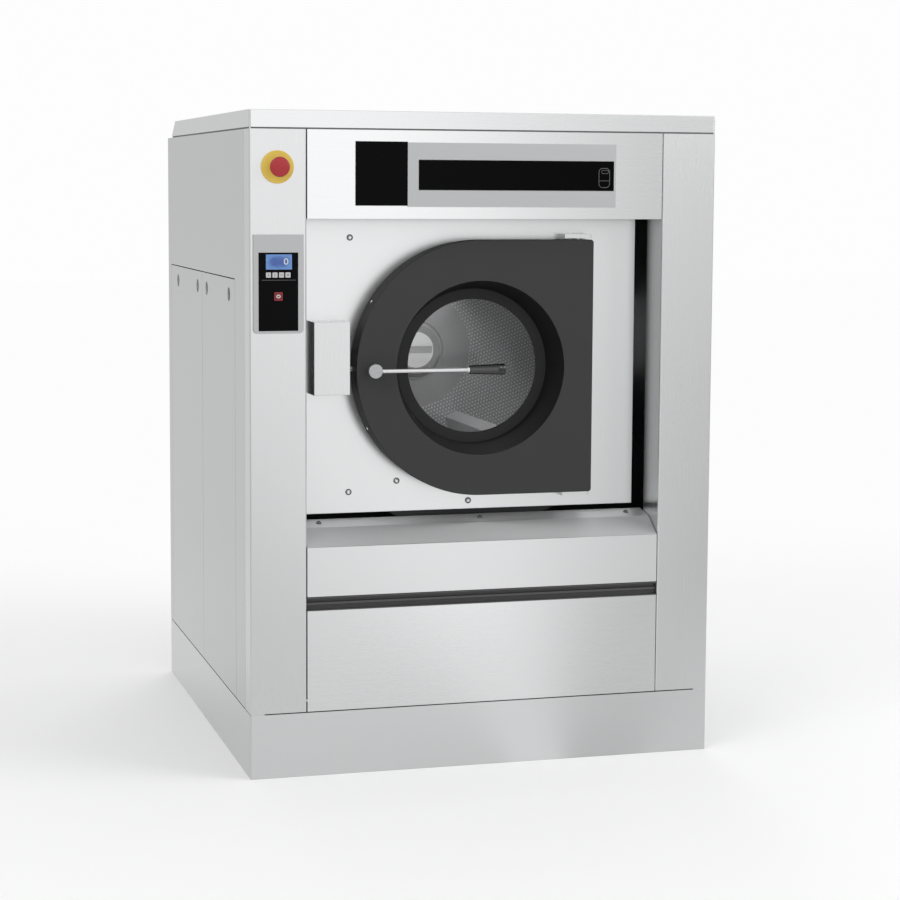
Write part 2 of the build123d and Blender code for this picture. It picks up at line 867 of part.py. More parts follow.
# Controls
def control_bezel():
    """The grey surround, with a stepped window that the keypad plate sits in."""
    mid = control_bottom + control_height / 2
    keypad_mid = keypad_bottom + keypad_height / 2
    front = -control_thickness
    square = Pos(0, control_height / 4) * Rectangle(control_width, control_height / 2)
    outline = rounded(control_width, control_height, control_corner) + square
    bezel = across(outline, control_x, mid, front, 0)
    bezel = fillet(front_edges(bezel, front), edge_radius / 2)
    pocket_y = front + keypad_thickness - keypad_proud
    pocket = Rectangle(keypad_width + seat_gap, keypad_height + seat_gap)
    bezel -= across(pocket, stop_x, keypad_mid, front - overrun, pocket_y)
    opening = Rectangle(keypad_width - keypad_ledge * 2, keypad_height - keypad_ledge * 2)
    return bezel - across(opening, stop_x, keypad_mid, pocket_y - overrun, overrun)


def keypad():
    """The black plate with holes for the display and the keys."""
    back = -control_thickness + keypad_thickness - keypad_proud
    front = back - overrun
    plate = across(Rectangle(keypad_width, keypad_height), stop_x, keypad_bottom + keypad_height / 2,
                   back - keypad_thickness, back)
    window = Rectangle(display_width + seat_gap, display_height + seat_gap)
    plate -= across(window, display_left + display_width / 2, display_bottom + display_height / 2,
                    front, overrun)
    hole = rounded(key_size + key_gap * 2, key_size + key_gap * 2, key_corner)
    for i in range(key_count):
        x = display_left + key_size / 2 + i * key_pitch
        plate -= across(hole, x, key_bottom + key_size / 2, front, overrun)
    stop_hole = rounded(stop_size + key_gap * 2, stop_size + key_gap * 2, key_corner)
    return plate - across(stop_hole, stop_x, stop_bottom + stop_size / 2, front, overrun)


def display_window():
    front = -control_thickness - keypad_proud
    return across(Rectangle(display_width, display_height), display_left + display_width / 2,
                  display_bottom + display_height / 2, front, front + display_depth)


def key(x, z, size):
    """A push key: its face through the plate, and a flange behind that keeps it in."""
    front = -control_thickness - keypad_proud - key_proud
    flange_y = -control_thickness + keypad_thickness - keypad_proud + key_gap
    face = across(rounded(size, size, key_corner), x, z, front, flange_y)
    rim = rounded(size + key_flange * 2, size + key_flange * 2, key_corner)
    return face + across(rim, x, z, flange_y, flange_y + key_flange_thickness)


# Emergency stop
def estop_collar_ring():
    collar = ring(estop_x, estop_z, estop_collar_radius, estop_stem_radius + running_gap, -estop_collar, 0)
    rim = front_edges(collar, -estop_collar).filter_by(lambda e: e.radius > estop_head_radius)
    return fillet(rim, edge_radius)


def estop_stem():
    stem = disc(estop_x, estop_z, estop_stem_radius, estop_head_back_y - estop_socket, estop_stem_back)
    behind = sheet + seat_gap
    return stem + disc(estop_x, estop_z, estop_flange_radius, behind, behind + estop_flange)


def estop_button():
    """The red mushroom, with a socket that turns on the stem."""
    head_back = -estop_face + estop_head_depth
    head = disc(estop_x, estop_z, estop_head_radius, -estop_face, head_back)
    head = fillet(front_edges(head, -estop_face), estop_face_radius)
    head += disc(estop_x, estop_z, estop_neck_radius, head_back, estop_head_back_y)
    return head - disc(estop_x, estop_z, estop_stem_radius + running_gap,
                       estop_head_back_y - estop_socket - seat_gap, overrun)


# Front plate, lock box and hinge
def front_plate():
    """The recessed plate, with folded side edges and the round mouth of the tub."""
    x = plate_half_width
    plate = block(-x, x, plate_y, plate_back + plate_return, plate_bottom, plate_top)
    plate = fillet(front_edges(plate, plate_y), edge_radius)
    plate -= block(-x + sheet, x - sheet, plate_back, plate_back + plate_return + overrun,
                   plate_bottom - overrun, plate_top + overrun)
    return plate - disc(0, axis_z, mouth_radius, plate_y - overrun, plate_back + overrun)


def plate_screws():
    head_y = plate_y - screw_height
    screws = []
    for share_x, share_z in screw_shares:
        z = plate_bottom + share_z * (plate_top - plate_bottom)
        screw = disc(share_x * plate_half_width, z, screw_radius, head_y, plate_y)
        screws.append(fillet(front_edges(screw, head_y), edge_radius))
    return screws


def lock_box():
    """The box that takes the bolt, closed towards the front and open at the plate."""
    box = block(lock_left, lock_right, lock_front_y, plate_y, lock_bottom, lock_top)
    box = fillet(front_edges(box, lock_front_y), edge_radius)
    box -= block(lock_left + lock_wall, lock_right - lock_wall, lock_front_y + lock_wall, plate_y + overrun,
                 lock_bottom + lock_wall, lock_top - lock_wall)
    return box - bar(bolt_y, axis_z, bolt_radius + lock_hole_gap, lock_right - lock_wall - overrun,
                     lock_right + overrun)


def door_hinge():
    """Two arms that reach forward over and under the door, each with a pin into it."""
    pieces = []
    for side in (-1, 1):
        near = axis_z + side * (door_radius + hinge_gap)
        far = near + side * hinge_thickness
        z0, z1 = sorted((near, far))
        arm = block(hinge_left, hinge_right, hinge_front_y, plate_y, z0, z1)
        arm = fillet(front_edges(arm, hinge_front_y).filter_by(Axis.Z), edge_radius * 2)
        pin = upright(hinge_x, hinge_y, hinge_pin_radius, *sorted((far, near - side * hinge_pin_length)))
        pieces.append(arm + pin)
    return pieces


# Door
def door_face(radius, right):
    """The outline of the door: a half circle on the left, straight to the right."""
    square = Rectangle(right, radius * 2, align=(Align.MIN, Align.CENTER))
    corners = square.vertices().filter_by_position(Axis.X, right - seat_gap, right + seat_gap)
    return Circle(radius) - Rectangle(radius, radius * 2, align=(Align.MIN, Align.CENTER)) \
        + fillet(corners, door_corner)


def door_cover():
    """The front shell of the door, up to the seam in its rim."""
    inset = door_wall
    cover = across(door_face(door_radius, door_right), 0, axis_z, door_front_y, door_band_y)
    cover = fillet(front_edges(cover, door_front_y), door_edge)
    cover -= across(door_face(door_radius - inset, door_right - inset), 0, axis_z,
                    door_front_y + inset, door_band_y + overrun)
    cover -= disc(0, axis_z, cone_front_radius, door_front_y - overrun, door_band_y)
    return cover - disc(lever_x, axis_z, spindle_radius + running_gap, door_front_y - overrun, door_band_y)


def door_slab(radius, right, y0, y1, cut):
    """A slab with the door's outline, its rear edge cut off on the hinge side so that it can swing."""
    wedge = Polygon((right - cut, y1), (right + overrun, y1 - cut - overrun), (right + overrun, y1 + overrun),
                    (right - cut, y1 + overrun))
    z0 = axis_z - radius - overrun
    tool = extrude(Pos(0, 0, z0) * wedge, amount=(radius + overrun) * 2, dir=(0, 0, 1))
    return across(door_face(radius, right), 0, axis_z, y0, y1) - tool


def door_pan():
    """The rear shell: rim, back wall, the cone of the porthole and the ring that holds the glass."""
    radius, right = door_radius - door_band_step, door_right - door_band_step
    y0, y1 = door_band_y + seat_gap, door_rear_y
    pan = door_slab(radius, right, y0, y1, door_hinge_chamfer)
    pan -= door_slab(radius - door_wall, right - door_wall, y0 - overrun, y1 - door_wall,
                     door_hinge_chamfer - door_wall / 2)
    pan -= disc(0, axis_z, cone_rear_radius + cone_wall, y0 - overrun, y1 + overrun)
    lip_y = door_front_y + door_wall
    back_y = glass_ring_y + cone_wall
    front_r, rear_r = cone_front_radius, cone_rear_radius
    pan += turned(0, axis_z, (front_r, lip_y), (rear_r, glass_ring_y), (glass_ring_radius, glass_ring_y),
                  (glass_ring_radius, back_y), (rear_r + cone_wall, back_y),
                  (rear_r + cone_wall, glass_ring_y), (front_r + cone_wall, lip_y))
    for side in (-1, 1):
        end = axis_z + side * (radius - door_wall / 2)
        z = sorted((end, end - side * knuckle_height))
        pan += block(hinge_x - knuckle_half, right - door_wall / 2, y0, y1 - door_wall / 2, *z)
        bore = sorted((axis_z + side * (door_radius + overrun),
                       axis_z + side * (door_radius - hinge_pin_length - hinge_gap)))
        pan -= upright(hinge_x, hinge_y, hinge_pin_radius + running_gap, *bore)
    guide_x = -door_radius + door_wall
    pan += block(guide_x, guide_x + bolt_guide, y0, y1 - door_wall / 2, axis_z - bolt_guide_half,
                 axis_z + bolt_guide_half)
    return pan - bar(bolt_y, axis_z, bolt_radius + running_gap, -door_radius - overrun,
                     guide_x + bolt_guide + overrun)


def door_glass():
    """A shallow bowl seated behind the ring."""
    y0 = glass_ring_y + cone_wall
    y1 = y0 + glass_thickness
    r, edge = glass_ring_radius, glass_ring_radius + glass_lap
    mid_r, mid_sag = r * 2 / 3, glass_sag * 2 / 3
    return turned(0, axis_z, (0, y0 + glass_sag), (mid_r, y0 + mid_sag), (r, y0), (edge, y0),
                  (edge, y1), (r, y1), (mid_r, y1 + mid_sag), (0, y1 + glass_sag))


def door_gasket():
    y0 = door_rear_y + seat_gap
    return turned(0, axis_z, (gasket_radius, y0), (mouth_radius + gasket_depth, y0),
                  (mouth_radius + gasket_depth, plate_y), (mouth_radius - seat_gap, plate_y),
                  (mouth_radius - seat_gap, y0 + gasket_depth), (gasket_radius, y0 + gasket_depth))


def door_handle():
    """The hub on its spindle, with the crank that drives the bolt, and the rod of the lever."""
    hub_back = lever_face_y + hub_thickness
    crank_back = door_band_y - crank_thickness
    hub = disc(lever_x, axis_z, hub_radius, lever_face_y, hub_back)
    hub = fillet(front_edges(hub, lever_face_y), edge_radius)
    hub += disc(lever_x, axis_z, neck_radius, hub_back, door_front_y - seat_gap)
    hub += disc(lever_x, axis_z, spindle_radius, lever_face_y + seat_gap, crank_back)
    hub += disc(lever_x, axis_z, crank_radius, crank_back - crank_thickness, crank_back)
    return hub + bar(lever_face_y + hub_thickness / 2, axis_z, rod_radius, lever_x, rod_end_x + grip_lap)


def handle_grip():
    """A tapered plastic grip over the end of the rod."""
    y = lever_face_y + hub_thickness / 2
    plane = Plane(origin=(0, y, axis_z), x_dir=(1, 0, 0), z_dir=(0, 0, 1))
    half = Polygon((rod_end_x, 0), (rod_end_x, grip_small_radius), (grip_end_x, grip_large_radius),
                   (grip_end_x, 0))
    grip = revolve(plane * half, Axis((0, y, axis_z), (1, 0, 0)))
    end = grip.edges().filter_by_position(Axis.X, grip_end_x - seat_gap, grip_end_x + seat_gap)
    return fillet(end, edge_radius) - bar(y, axis_z, rod_radius + running_gap, rod_end_x - overrun,
                                          rod_end_x + grip_lap + seat_gap)


def latch_bolt():
    bolt = bar(bolt_y, axis_z, bolt_radius, bolt_tip_x, bolt_inner_x)
    tip = bolt.edges().filter_by_position(Axis.X, bolt_tip_x - seat_gap, bolt_tip_x + seat_gap)
    return chamfer(tip, edge_radius)


# Tub and what it carries
def saddle(y, thickness):
    """A plate under and beside the tub, with a foot on each strut."""
    shape = Polygon((-saddle_half_width, saddle_bottom), (saddle_half_width, saddle_bottom),
                    (saddle_half_width, saddle_shoulder), (saddle_top_half_width, saddle_top),
                    (-saddle_top_half_width, saddle_top), (-saddle_half_width, saddle_shoulder))
    plate = across(shape, 0, 0, y, y + thickness)
    mid = y + thickness / 2
    for side in (-1, 1):
        x = side * strut_x
        plate += block(x - saddle_foot / 2, x + saddle_foot / 2, mid - saddle_foot / 2, mid + saddle_foot / 2,
                       saddle_bottom - saddle_foot_thickness, saddle_bottom)
    return plate


def tub():
    """The outer tub, welded to its two saddle plates. The rear saddle is its back wall."""
    wall_y = plate_back + tub_sheet
    body = turned(0, axis_z, (mouth_radius, plate_back), (tub_outer, plate_back), (tub_outer, tub_rear_y),
                  (tub_radius, tub_rear_y), (tub_radius, wall_y), (mouth_radius, wall_y))
    saddle_back = saddle_y + saddle_thickness + overrun
    body += saddle(saddle_y, saddle_thickness) - disc(0, axis_z, tub_outer - tub_sheet / 2,
                                                      saddle_y - overrun, saddle_back)
    body += saddle(tub_rear_y, tub_back_thickness) + disc(0, axis_z, tub_outer, tub_rear_y, tub_back_y)
    wall_z = axis_z - tub_radius
    body += upright(0, sump_y, sump_radius, sump_bottom, wall_z)
    body -= upright(0, sump_y, sump_radius - sump_wall, sump_bottom - overrun, wall_z + overrun * 2)
    return body - disc(0, axis_z, tub_back_hole, tub_rear_y - overrun, tub_back_y + overrun)


def drain_valve():
    """The valve body under the sump, with its pipe to the rear and its actuator."""
    half = valve_size / 2
    z1 = sump_bottom
    z0 = z1 - valve_height
    valve = block(-half, half, sump_y - half, sump_y + half, z0, z1 - seat_gap)
    valve = fillet(valve.edges().filter_by(Axis.Z), corner_radius * 2)
    mid = (z0 + z1) / 2
    valve += disc(0, mid, drain_radius, sump_y + half - corner_radius, sump_y + half + valve_pipe_reach)
    valve += upright(-half, sump_y, sump_radius, mid - sump_radius, mid + sump_radius)
    valve -= disc(0, mid, drain_bore, sump_y, sump_y + half + valve_pipe_reach + overrun)
    return valve - upright(0, sump_y, sump_radius - sump_wall, mid, z1 + overrun)


def bearing_housing():
    """The housing on the back of the tub, with its two bearings."""
    y0, y1 = housing_front_y, housing_rear_y
    housing = turned(0, axis_z, (bearing_radius, y0), (housing_flange_radius, y0),
                  (housing_flange_radius, y0 + housing_flange), (housing_radius, y0 + housing_flange * 2),
                  (housing_radius, y1), (bearing_radius, y1))
    outer, inner = bearing_radius - running_gap, shaft_radius + running_gap
    starts = (y0 + bearing_inset, y1 - bearing_inset - bearing_width)
    return [housing] + [ring(0, axis_z, outer, inner, y, y + bearing_width) for y in starts]


def pulley(x, z, radius, hub_radius, bore):
    """A grooved pulley: rim, web and hub."""
    y0, y1 = pulley_front_y, pulley_rear_y
    web0, web1 = pulley_mid_y - pulley_web / 2, pulley_mid_y + pulley_web / 2
    wheel = ring(x, z, radius, max(radius - pulley_rim, hub_radius), y0, y1)
    if radius - pulley_rim > hub_radius:
        wheel += ring(x, z, radius - pulley_rim / 2, hub_radius - pulley_rim / 2, web0, web1)
        for i in range(pulley_windows):
            angle = radians(360 / pulley_windows * i)
            wheel -= disc(x + pulley_window_place * cos(angle), z + pulley_window_place * sin(angle),
                          pulley_window_radius, web0 - overrun, web1 + overrun)
    wheel += ring(x, z, min(hub_radius, radius - groove_depth * 2), bore, y0, y1)
    half = belt_width / 2 + groove_gap
    for y in belt_ys:
        wheel -= ring(x, z, radius + overrun, radius - groove_depth, y - half, y + half)
    return wheel


def driven_pulley():
    return pulley(0, axis_z, pulley_radius, pulley_hub_radius, shaft_radius + running_gap / 2)


def motor_pulley():
    """The small pulley and the motor's shaft, which turn together."""
    wheel = pulley(0, motor_z, motor_pulley_radius, motor_pulley_radius - groove_depth * 2,
                   motor_shaft_radius + running_gap / 2)
    shaft = disc(0, motor_z, motor_shaft_radius, motor_rear_y - motor_length / 2, pulley_rear_y + shaft_end)
    return [wheel, shaft]


def belt_loop(large, small):
    """The area inside a belt stretched round two circles, drawn about the drum axis."""
    run = axis_z - motor_z
    tilt = radians(90) - acos((large - small) / run)
    side = cos(tilt)
    rise = sin(tilt)
    flanks = Polygon((large * side, -large * rise), (-large * side, -large * rise),
                     (-small * side, -run - small * rise), (small * side, -run - small * rise))
    return Circle(large) + Pos(0, -run) * Circle(small) + flanks


def drive_belts():
    large = pulley_radius - groove_depth + seat_gap
    small = motor_pulley_radius - groove_depth + seat_gap
    outline = belt_loop(large + belt_thickness, small + belt_thickness) - belt_loop(large, small)
    return [across(outline, 0, axis_z, y - belt_width / 2, y + belt_width / 2) for y in belt_ys]


def motor():
    """A finned motor on two foot rails, with a terminal box."""
    y0, y1 = motor_front_y, motor_rear_y
    body = disc(0, motor_z, motor_radius - motor_fin_height, y0 + motor_end_cap, y1 - motor_end_cap)
    fin = Rectangle(motor_fin_width, motor_fin_height * 2)
    for i in range(motor_fins):
        place = Rot(0, 0, 360 / motor_fins * i) * Pos(0, motor_radius - motor_fin_height)
        body += across(place * fin, 0, motor_z, y0 + motor_end_cap, y1 - motor_end_cap)
    body += disc(0, motor_z, motor_cap_radius, y0, y1)
    half = motor_foot_width / 2
    foot_z = motor_z - motor_radius - motor_foot_height / 2
    for side in (-1, 1):
        rail = sorted((side * half, side * half / 3))
        body += block(*rail, y0 + motor_end_cap * 2, y1 - motor_end_cap * 2, foot_z,
                      motor_z - motor_radius / 2)
    box_y = y0 + motor_end_cap * 2
    body += block(-motor_box_width / 2, motor_box_width / 2, box_y, box_y + motor_box_length, motor_z,
                  motor_z + motor_radius + motor_box_height)
    return body - disc(0, motor_z, motor_shaft_radius + running_gap, y1 - motor_length / 2 - overrun,
                       y1 + overrun)


def motor_mount():
    """A shelf under the motor, with an upstand against the back of the tub."""
    top = motor_z - motor_radius - motor_foot_height / 2
    x = mount_half_width
    shelf = block(-x, x, tub_back_y, motor_rear_y, top - mount_plate, top)
    shelf += block(-x, x, tub_back_y, motor_front_y - seat_gap, top, saddle_bottom + mount_upstand)
    for side in (-1, 1):
        web = Polygon((tub_back_y, top), (motor_rear_y - motor_end_cap, top), (tub_back_y, saddle_bottom))
        shelf += along_x(web, *sorted((side * x, side * (x - frame_plate))))
    return shelf


# Drum
def drum_shell():
    """The drum: its wall, a front wall with a rolled mouth, and a back with a pressed bead."""
    t = drum_sheet
    r, front, back = drum_radius, drum_front_y, drum_back_y
    mouth = drum_mouth_radius
    lip = front - drum_lip
    bead0, bead1 = drum_bead_inner, drum_bead_outer
    return turned(0, axis_z, (0, back), (bead0, back), (bead0 + t, back - drum_bead),
                  (bead1 - t, back - drum_bead), (bead1, back), (r, back), (r, front + t),
                  (mouth + t, front + t), (mouth + t, lip + t), (mouth + t * 2, lip), (mouth, lip),
                  (mouth, front), (r + t, front), (r + t, back + t), (0, back + t))


def lifter_section(inset):
    """A rib's outline with its walls moved in, drawn pointing down from the drum axis, open at its base."""
    base = drum_radius - lifter_wall_gap
    base_z = -(base ** 2 - lifter_base_half_width ** 2) ** (1 / 2)
    low = base_z - inset
    crest = -lifter_crest - inset
    base_x, crest_x = lifter_base_half_width - inset, lifter_crest_half_width - inset / 2
    return Polygon((-base_x, low), (base_x, low), (crest_x, crest), (-crest_x, crest))


def lifter_prism(inset):
    """A rib, sloped at the drum's mouth."""
    y0 = drum_front_y + drum_sheet + lifter_wall_gap + inset
    y1 = drum_back_y - lifter_wall_gap - inset
    rib = across(lifter_section(inset), 0, 0, y0, y1)
    wedge = Polygon((y0 - overrun, -drum_radius), (y0 - overrun, 0), (y0 + lifter_front_slope, 0),
                    (y0 + lifter_front_slope, -lifter_crest - inset), (y0, -drum_radius))
    return rib - along_x(wedge, -lifter_base_half_width - overrun, lifter_base_half_width + overrun)


def drum_lifters():
    """Three tall folded ribs along the drum."""
    rib = lifter_prism(0) - lifter_prism(lifter_sheet)
    lifters = []
    for i in range(lifter_count):
        turn = -90 - lifter_first_angle + 360 / lifter_count * i
        lifters.append(Pos(0, 0, axis_z) * Rot(0, turn, 0) * rib)
    return lifters


def drum_shaft():
    """The shaft and its flange behind the drum's back, and the bright cap inside the drum."""
    y = drum_wall_rear_y
    shaft = disc(0, axis_z, shaft_flange_radius, y, y + shaft_flange)
    shaft += disc(0, axis_z, shaft_radius, y + shaft_flange, pulley_rear_y + shaft_end)
    cap = disc(0, axis_z, hub_cap_radius, drum_back_y - hub_cap, drum_back_y)
    cap = fillet(front_edges(cap, drum_back_y - hub_cap), hub_cap_edge)
    cap -= block(-hub_cap_radius, hub_cap_radius, drum_back_y - hub_cap - overrun,
                 drum_back_y - hub_cap + hub_slot_depth, axis_z - hub_slot_height / 2,
                 axis_z + hub_slot_height / 2)
    return [shaft, cap]


# Suspension
def struts():
    """The places of the four struts."""
    return [(side * strut_x, y) for y in strut_ys for side in (-1, 1)]


def suspension_springs():
    """Four coil springs between the cross members and the feet of the saddles, with plain ends."""
    z0 = frame_top + damper_seat + spring_wire + seat_gap
    z1 = saddle_bottom - saddle_foot_thickness - spring_wire - seat_gap
    height = z1 - z0
    helix = Helix(pitch=height / spring_turns, height=height, radius=spring_radius)
    wire = sweep(Plane(origin=helix @ 0, z_dir=helix % 0) * Circle(spring_wire), path=helix, is_frenet=True)
    return [Pos(x, y, z0) * wire for x, y in struts()]


def damper_tubes():
    """A seat plate and a tube on the base frame inside each spring."""
    tubes = []
    z0 = frame_top
    for x, y in struts():
        tube = upright(x, y, damper_seat_radius, z0, z0 + damper_seat)
        tube += upright(x, y, damper_radius, z0, z0 + damper_length)
        tube -= upright(x, y, damper_radius - damper_wall, z0 + damper_seat,
                        z0 + damper_length - damper_seat)
        tube -= upright(x, y, damper_rod_radius + running_gap, z0 + damper_length / 2,
                        z0 + damper_length + overrun)
        tubes.append(tube)
    return tubes


def damper_rods():
    """The rod of each damper, with the piston on its end."""
    rods = []
    top = saddle_bottom - saddle_foot_thickness
    low = frame_top + damper_length - damper_rod_lap
    for x, y in struts():
        rod = upright(x, y, damper_rod_radius, low, top)
        rod += upright(x, y, damper_radius - damper_wall - running_gap, low, low + damper_seat)
        rods.append(rod)
    return rods


os.makedirs("parts", exist_ok=True)
export("base_frame", base_frame())
export("plinth", plinth())
export("left_front_post", left_front_post())
export("right_front_post", front_post(1))
export("header_panel", header_panel())
export("sign_plate", sign_plate())
export("dispenser_bezel", dispenser_bezel())
export("dispenser_flap", dispenser_flap())
export("dispenser_tray", dispenser_tray())
export("top_lid", top_lid())
export("left_side_panel", left_side_panel())
export("left_access_panel_front", access_panel(access_front_y + panel_gap, access_split_y - panel_gap / 2,
                                               latch_ys[:2]))
export("left_access_panel_rear", access_panel(access_split_y + panel_gap / 2, access_rear_y - panel_gap,
                                              latch_ys[2:]))
for number, place in enumerate(latch_ys, 1):
    export(f"quarter_turn_latch_{number}", quarter_turn_latch(place))
export("right_side_panel", right_side_panel())
export("rear_panel", rear_panel())
export("water_inlets", *water_inlets())
export("drain_outlet", drain_outlet())
export("cable_gland", cable_gland())
export("ledge_panel", ledge_panel())
export("grip_channel", grip_channel())
export("service_panel", service_panel())
export("control_bezel", control_bezel())
export("keypad", keypad())
export("display_window", display_window())
for number in range(key_count):
    key_x = display_left + key_size / 2 + number * key_pitch
    export(f"key_{number + 1}", key(key_x, key_bottom + key_size / 2, key_size))
export("stop_key", key(stop_x, stop_bottom + stop_size / 2, stop_size))
export("estop_collar", estop_collar_ring())
export("estop_stem", estop_stem())
export("estop_button", estop_button())
export("front_plate", front_plate())
export("plate_screws", *plate_screws())
export("lock_box", lock_box())
export("door_hinge", *door_hinge())
export("door_cover", door_cover())
export("door_pan", door_pan())
export("door_glass", door_glass())
export("door_gasket", door_gasket())
export("door_handle", door_handle())
export("handle_grip", handle_grip())
export("latch_bolt", latch_bolt())
export("tub", tub())
export("drain_valve", drain_valve())
export("bearing_housing", *bearing_housing())
export("driven_pulley", driven_pulley())
export("motor_pulley", *motor_pulley())
export("drive_belts", *drive_belts())
export("motor", motor(), motor_mount())
export("drum_shell", drum_shell())
export("drum_lifters", *drum_lifters())
export("drum_shaft", *drum_shaft())
export("suspension_springs", *suspension_springs())
export("damper_tubes", *damper_tubes())
export("damper_rods", *damper_rods())
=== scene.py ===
# %% [markdown]
# # Dressing a washer-extractor
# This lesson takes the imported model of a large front-loading washer, whose every panel already has
# its real shape and size, and gives it its look: brushed steel, dark paint, a glass window, printed
# marks, screws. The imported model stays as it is. We only give it materials, and add the small
# pieces that it leaves out.

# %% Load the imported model
import math

import bmesh
import bpy
import numpy as np
from mathutils import Matrix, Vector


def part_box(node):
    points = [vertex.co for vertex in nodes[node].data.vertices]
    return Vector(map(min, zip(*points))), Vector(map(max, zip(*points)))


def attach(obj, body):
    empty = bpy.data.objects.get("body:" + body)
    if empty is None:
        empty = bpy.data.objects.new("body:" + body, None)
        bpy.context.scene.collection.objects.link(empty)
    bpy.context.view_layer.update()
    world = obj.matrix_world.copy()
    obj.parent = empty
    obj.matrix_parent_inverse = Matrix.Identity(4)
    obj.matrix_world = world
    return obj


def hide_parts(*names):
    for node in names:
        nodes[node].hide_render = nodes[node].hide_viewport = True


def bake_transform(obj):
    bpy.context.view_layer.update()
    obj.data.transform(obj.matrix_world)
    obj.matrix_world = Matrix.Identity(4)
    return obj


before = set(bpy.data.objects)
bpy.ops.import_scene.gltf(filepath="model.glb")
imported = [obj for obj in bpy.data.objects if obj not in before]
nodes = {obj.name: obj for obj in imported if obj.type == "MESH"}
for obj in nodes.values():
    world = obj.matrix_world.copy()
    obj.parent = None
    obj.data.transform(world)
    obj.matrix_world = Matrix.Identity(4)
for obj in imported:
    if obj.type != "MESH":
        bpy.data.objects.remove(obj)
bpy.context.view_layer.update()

# %% [markdown]
# ## Where things are
# A piece that we add has to sit on the panel that carries it. So its place is worked out from the
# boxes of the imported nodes, and only the small distances on one panel are written here. Blender
# works in metres, so MM turns millimetres into metres.

# %% The planes and axes that the added pieces share
MM = 0.001
FRONTWARD, REARWARD, UPWARD = (0, -1, 0), (0, 1, 0), (0, 0, 1)


def middle(low, high):
    """The middle of a box from its two corners."""
    return [(a + b) / 2 for a, b in zip(low, high)]


post_low, post_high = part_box("left_front_post")
front = post_low.y
glass_low, glass_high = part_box("door_glass")
drum_z = (glass_low.z + glass_high.z) / 2
plate_low, plate_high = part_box("front_plate")
rear_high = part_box("rear_panel")[1]
print("front face", round(front, 4), "drum axis", round(drum_z, 4))

# %% [markdown]
# ## Surfaces from numbers
# Every new piece is a grid of points, worked out as whole arrays. The faces only join each point to
# its neighbours. Two surfaces cover nearly all small hardware: a profile turned about an axis, as
# on a lathe, and a section carried along a path, as when a bead is laid on a panel.


# %% Grids, turned profiles and carried sections
def grid_faces(rows, columns, loop_rows=False, loop_columns=True):
    """Quads of a grid. Each joins point (i, j) with those at i + 1 and j + 1, wrapped if looped."""
    i = np.arange(rows if loop_rows else rows - 1)[:, None]
    j = np.arange(columns if loop_columns else columns - 1)[None, :]
    down, right = (i + 1) % rows, (j + 1) % columns
    quads = [i * columns + j, i * columns + right, down * columns + right, down * columns + j]
    return np.stack(np.broadcast_arrays(*quads), axis=-1).reshape(-1, 4)


def axes_of(axis):
    """Two directions square to an axis, and the axis itself, all of unit length."""
    along = np.array(axis, float)
    along /= np.linalg.norm(along)
    helper = np.array([0, 0, 1.0]) if abs(along[2]) < 0.9 else np.array([1.0, 0, 0])
    side = np.cross(helper, along)
    side /= np.linalg.norm(side)
    return side, np.cross(along, side), along


def turned(profile, centre, axis, sides=48):
    """A turned surface: centre + r(cos t side + sin t up) + d axis, for each (r, d) of the profile."""
    profile = np.array(profile, float)
    angle = np.linspace(0, 2 * np.pi, sides, endpoint=False)
    side, up, along = axes_of(axis)
    radius, depth = profile[:, 0, None, None], profile[:, 1, None, None]
    points = (np.array(centre, float) + radius * np.cos(angle)[None, :, None] * side
              + radius * np.sin(angle)[None, :, None] * up + depth * along)
    return points.reshape(-1, 3), grid_faces(len(profile), sides)


def carried(path, section, facing, loop=True):
    """A section carried along a path: path + a normal + b facing, for each (a, b) of the section.
    The normal is the path's direction crossed with facing, the way that the carrying panel looks."""
    path, section, facing = (np.array(given, float) for given in (path, section, facing))
    if loop:
        direction = np.roll(path, -1, axis=0) - np.roll(path, 1, axis=0)
    else:
        direction = np.gradient(path, axis=0)
    normal = np.cross(direction, facing)
    normal /= np.linalg.norm(normal, axis=1, keepdims=True)
    points = path[:, None] + section[None, :, :1] * normal[:, None] + section[None, :, 1:] * facing
    faces = grid_faces(len(path), len(section), loop_rows=loop)
    if not loop:
        count = len(section)
        caps = [list(range(count)), list(range((len(path) - 1) * count, len(path) * count))]
        return points.reshape(-1, 3), [*faces.tolist(), *caps]
    return points.reshape(-1, 3), faces


def together(*parts):
    """Several surfaces as one list of points and one list of faces."""
    points, faces, start = [], [], 0
    for part_points, part_faces in parts:
        points.append(part_points)
        faces += [[start + k for k in face] for face in np.array(part_faces, dtype=object).tolist()]
        start += len(part_points)
    return np.concatenate(points), faces


# %% Make a piece of the object from a surface
SHARP_ANGLE = math.radians(30)


def piece(name, surface, body, material):
    """A mesh object in place, riding on a body. Doubled points are merged and faces turned outwards."""
    points, faces = surface
    mesh = bpy.data.meshes.new(name)
    mesh.from_pydata(np.asarray(points).tolist(), [], [list(face) for face in faces])
    made = bmesh.new()
    made.from_mesh(mesh)
    bmesh.ops.remove_doubles(made, verts=made.verts, dist=1e-6)
    bmesh.ops.dissolve_degenerate(made, edges=made.edges, dist=1e-7)
    bmesh.ops.recalc_face_normals(made, faces=made.faces)
    made.to_mesh(mesh)
    made.free()
    mesh.shade_smooth()
    mesh.set_sharp_from_angle(angle=SHARP_ANGLE)
    thing = bpy.data.objects.new(name, mesh)
    bpy.context.scene.collection.objects.link(thing)
    mesh.materials.append(material)
    if body:
        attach(thing, body)
    print(name, len(mesh.vertices), "points")
    return thing


# %% [markdown]
# ## Materials as small sums
# A finish is rarely one colour. Steel has a grain, paint has a faint texture, and both are a little
# uneven. We write that as sums of values. The class below wraps one socket of a node tree, so that
# 0.3 + 0.1 * grain adds the two Math nodes by itself. Any other node comes from one method of the
# tree.


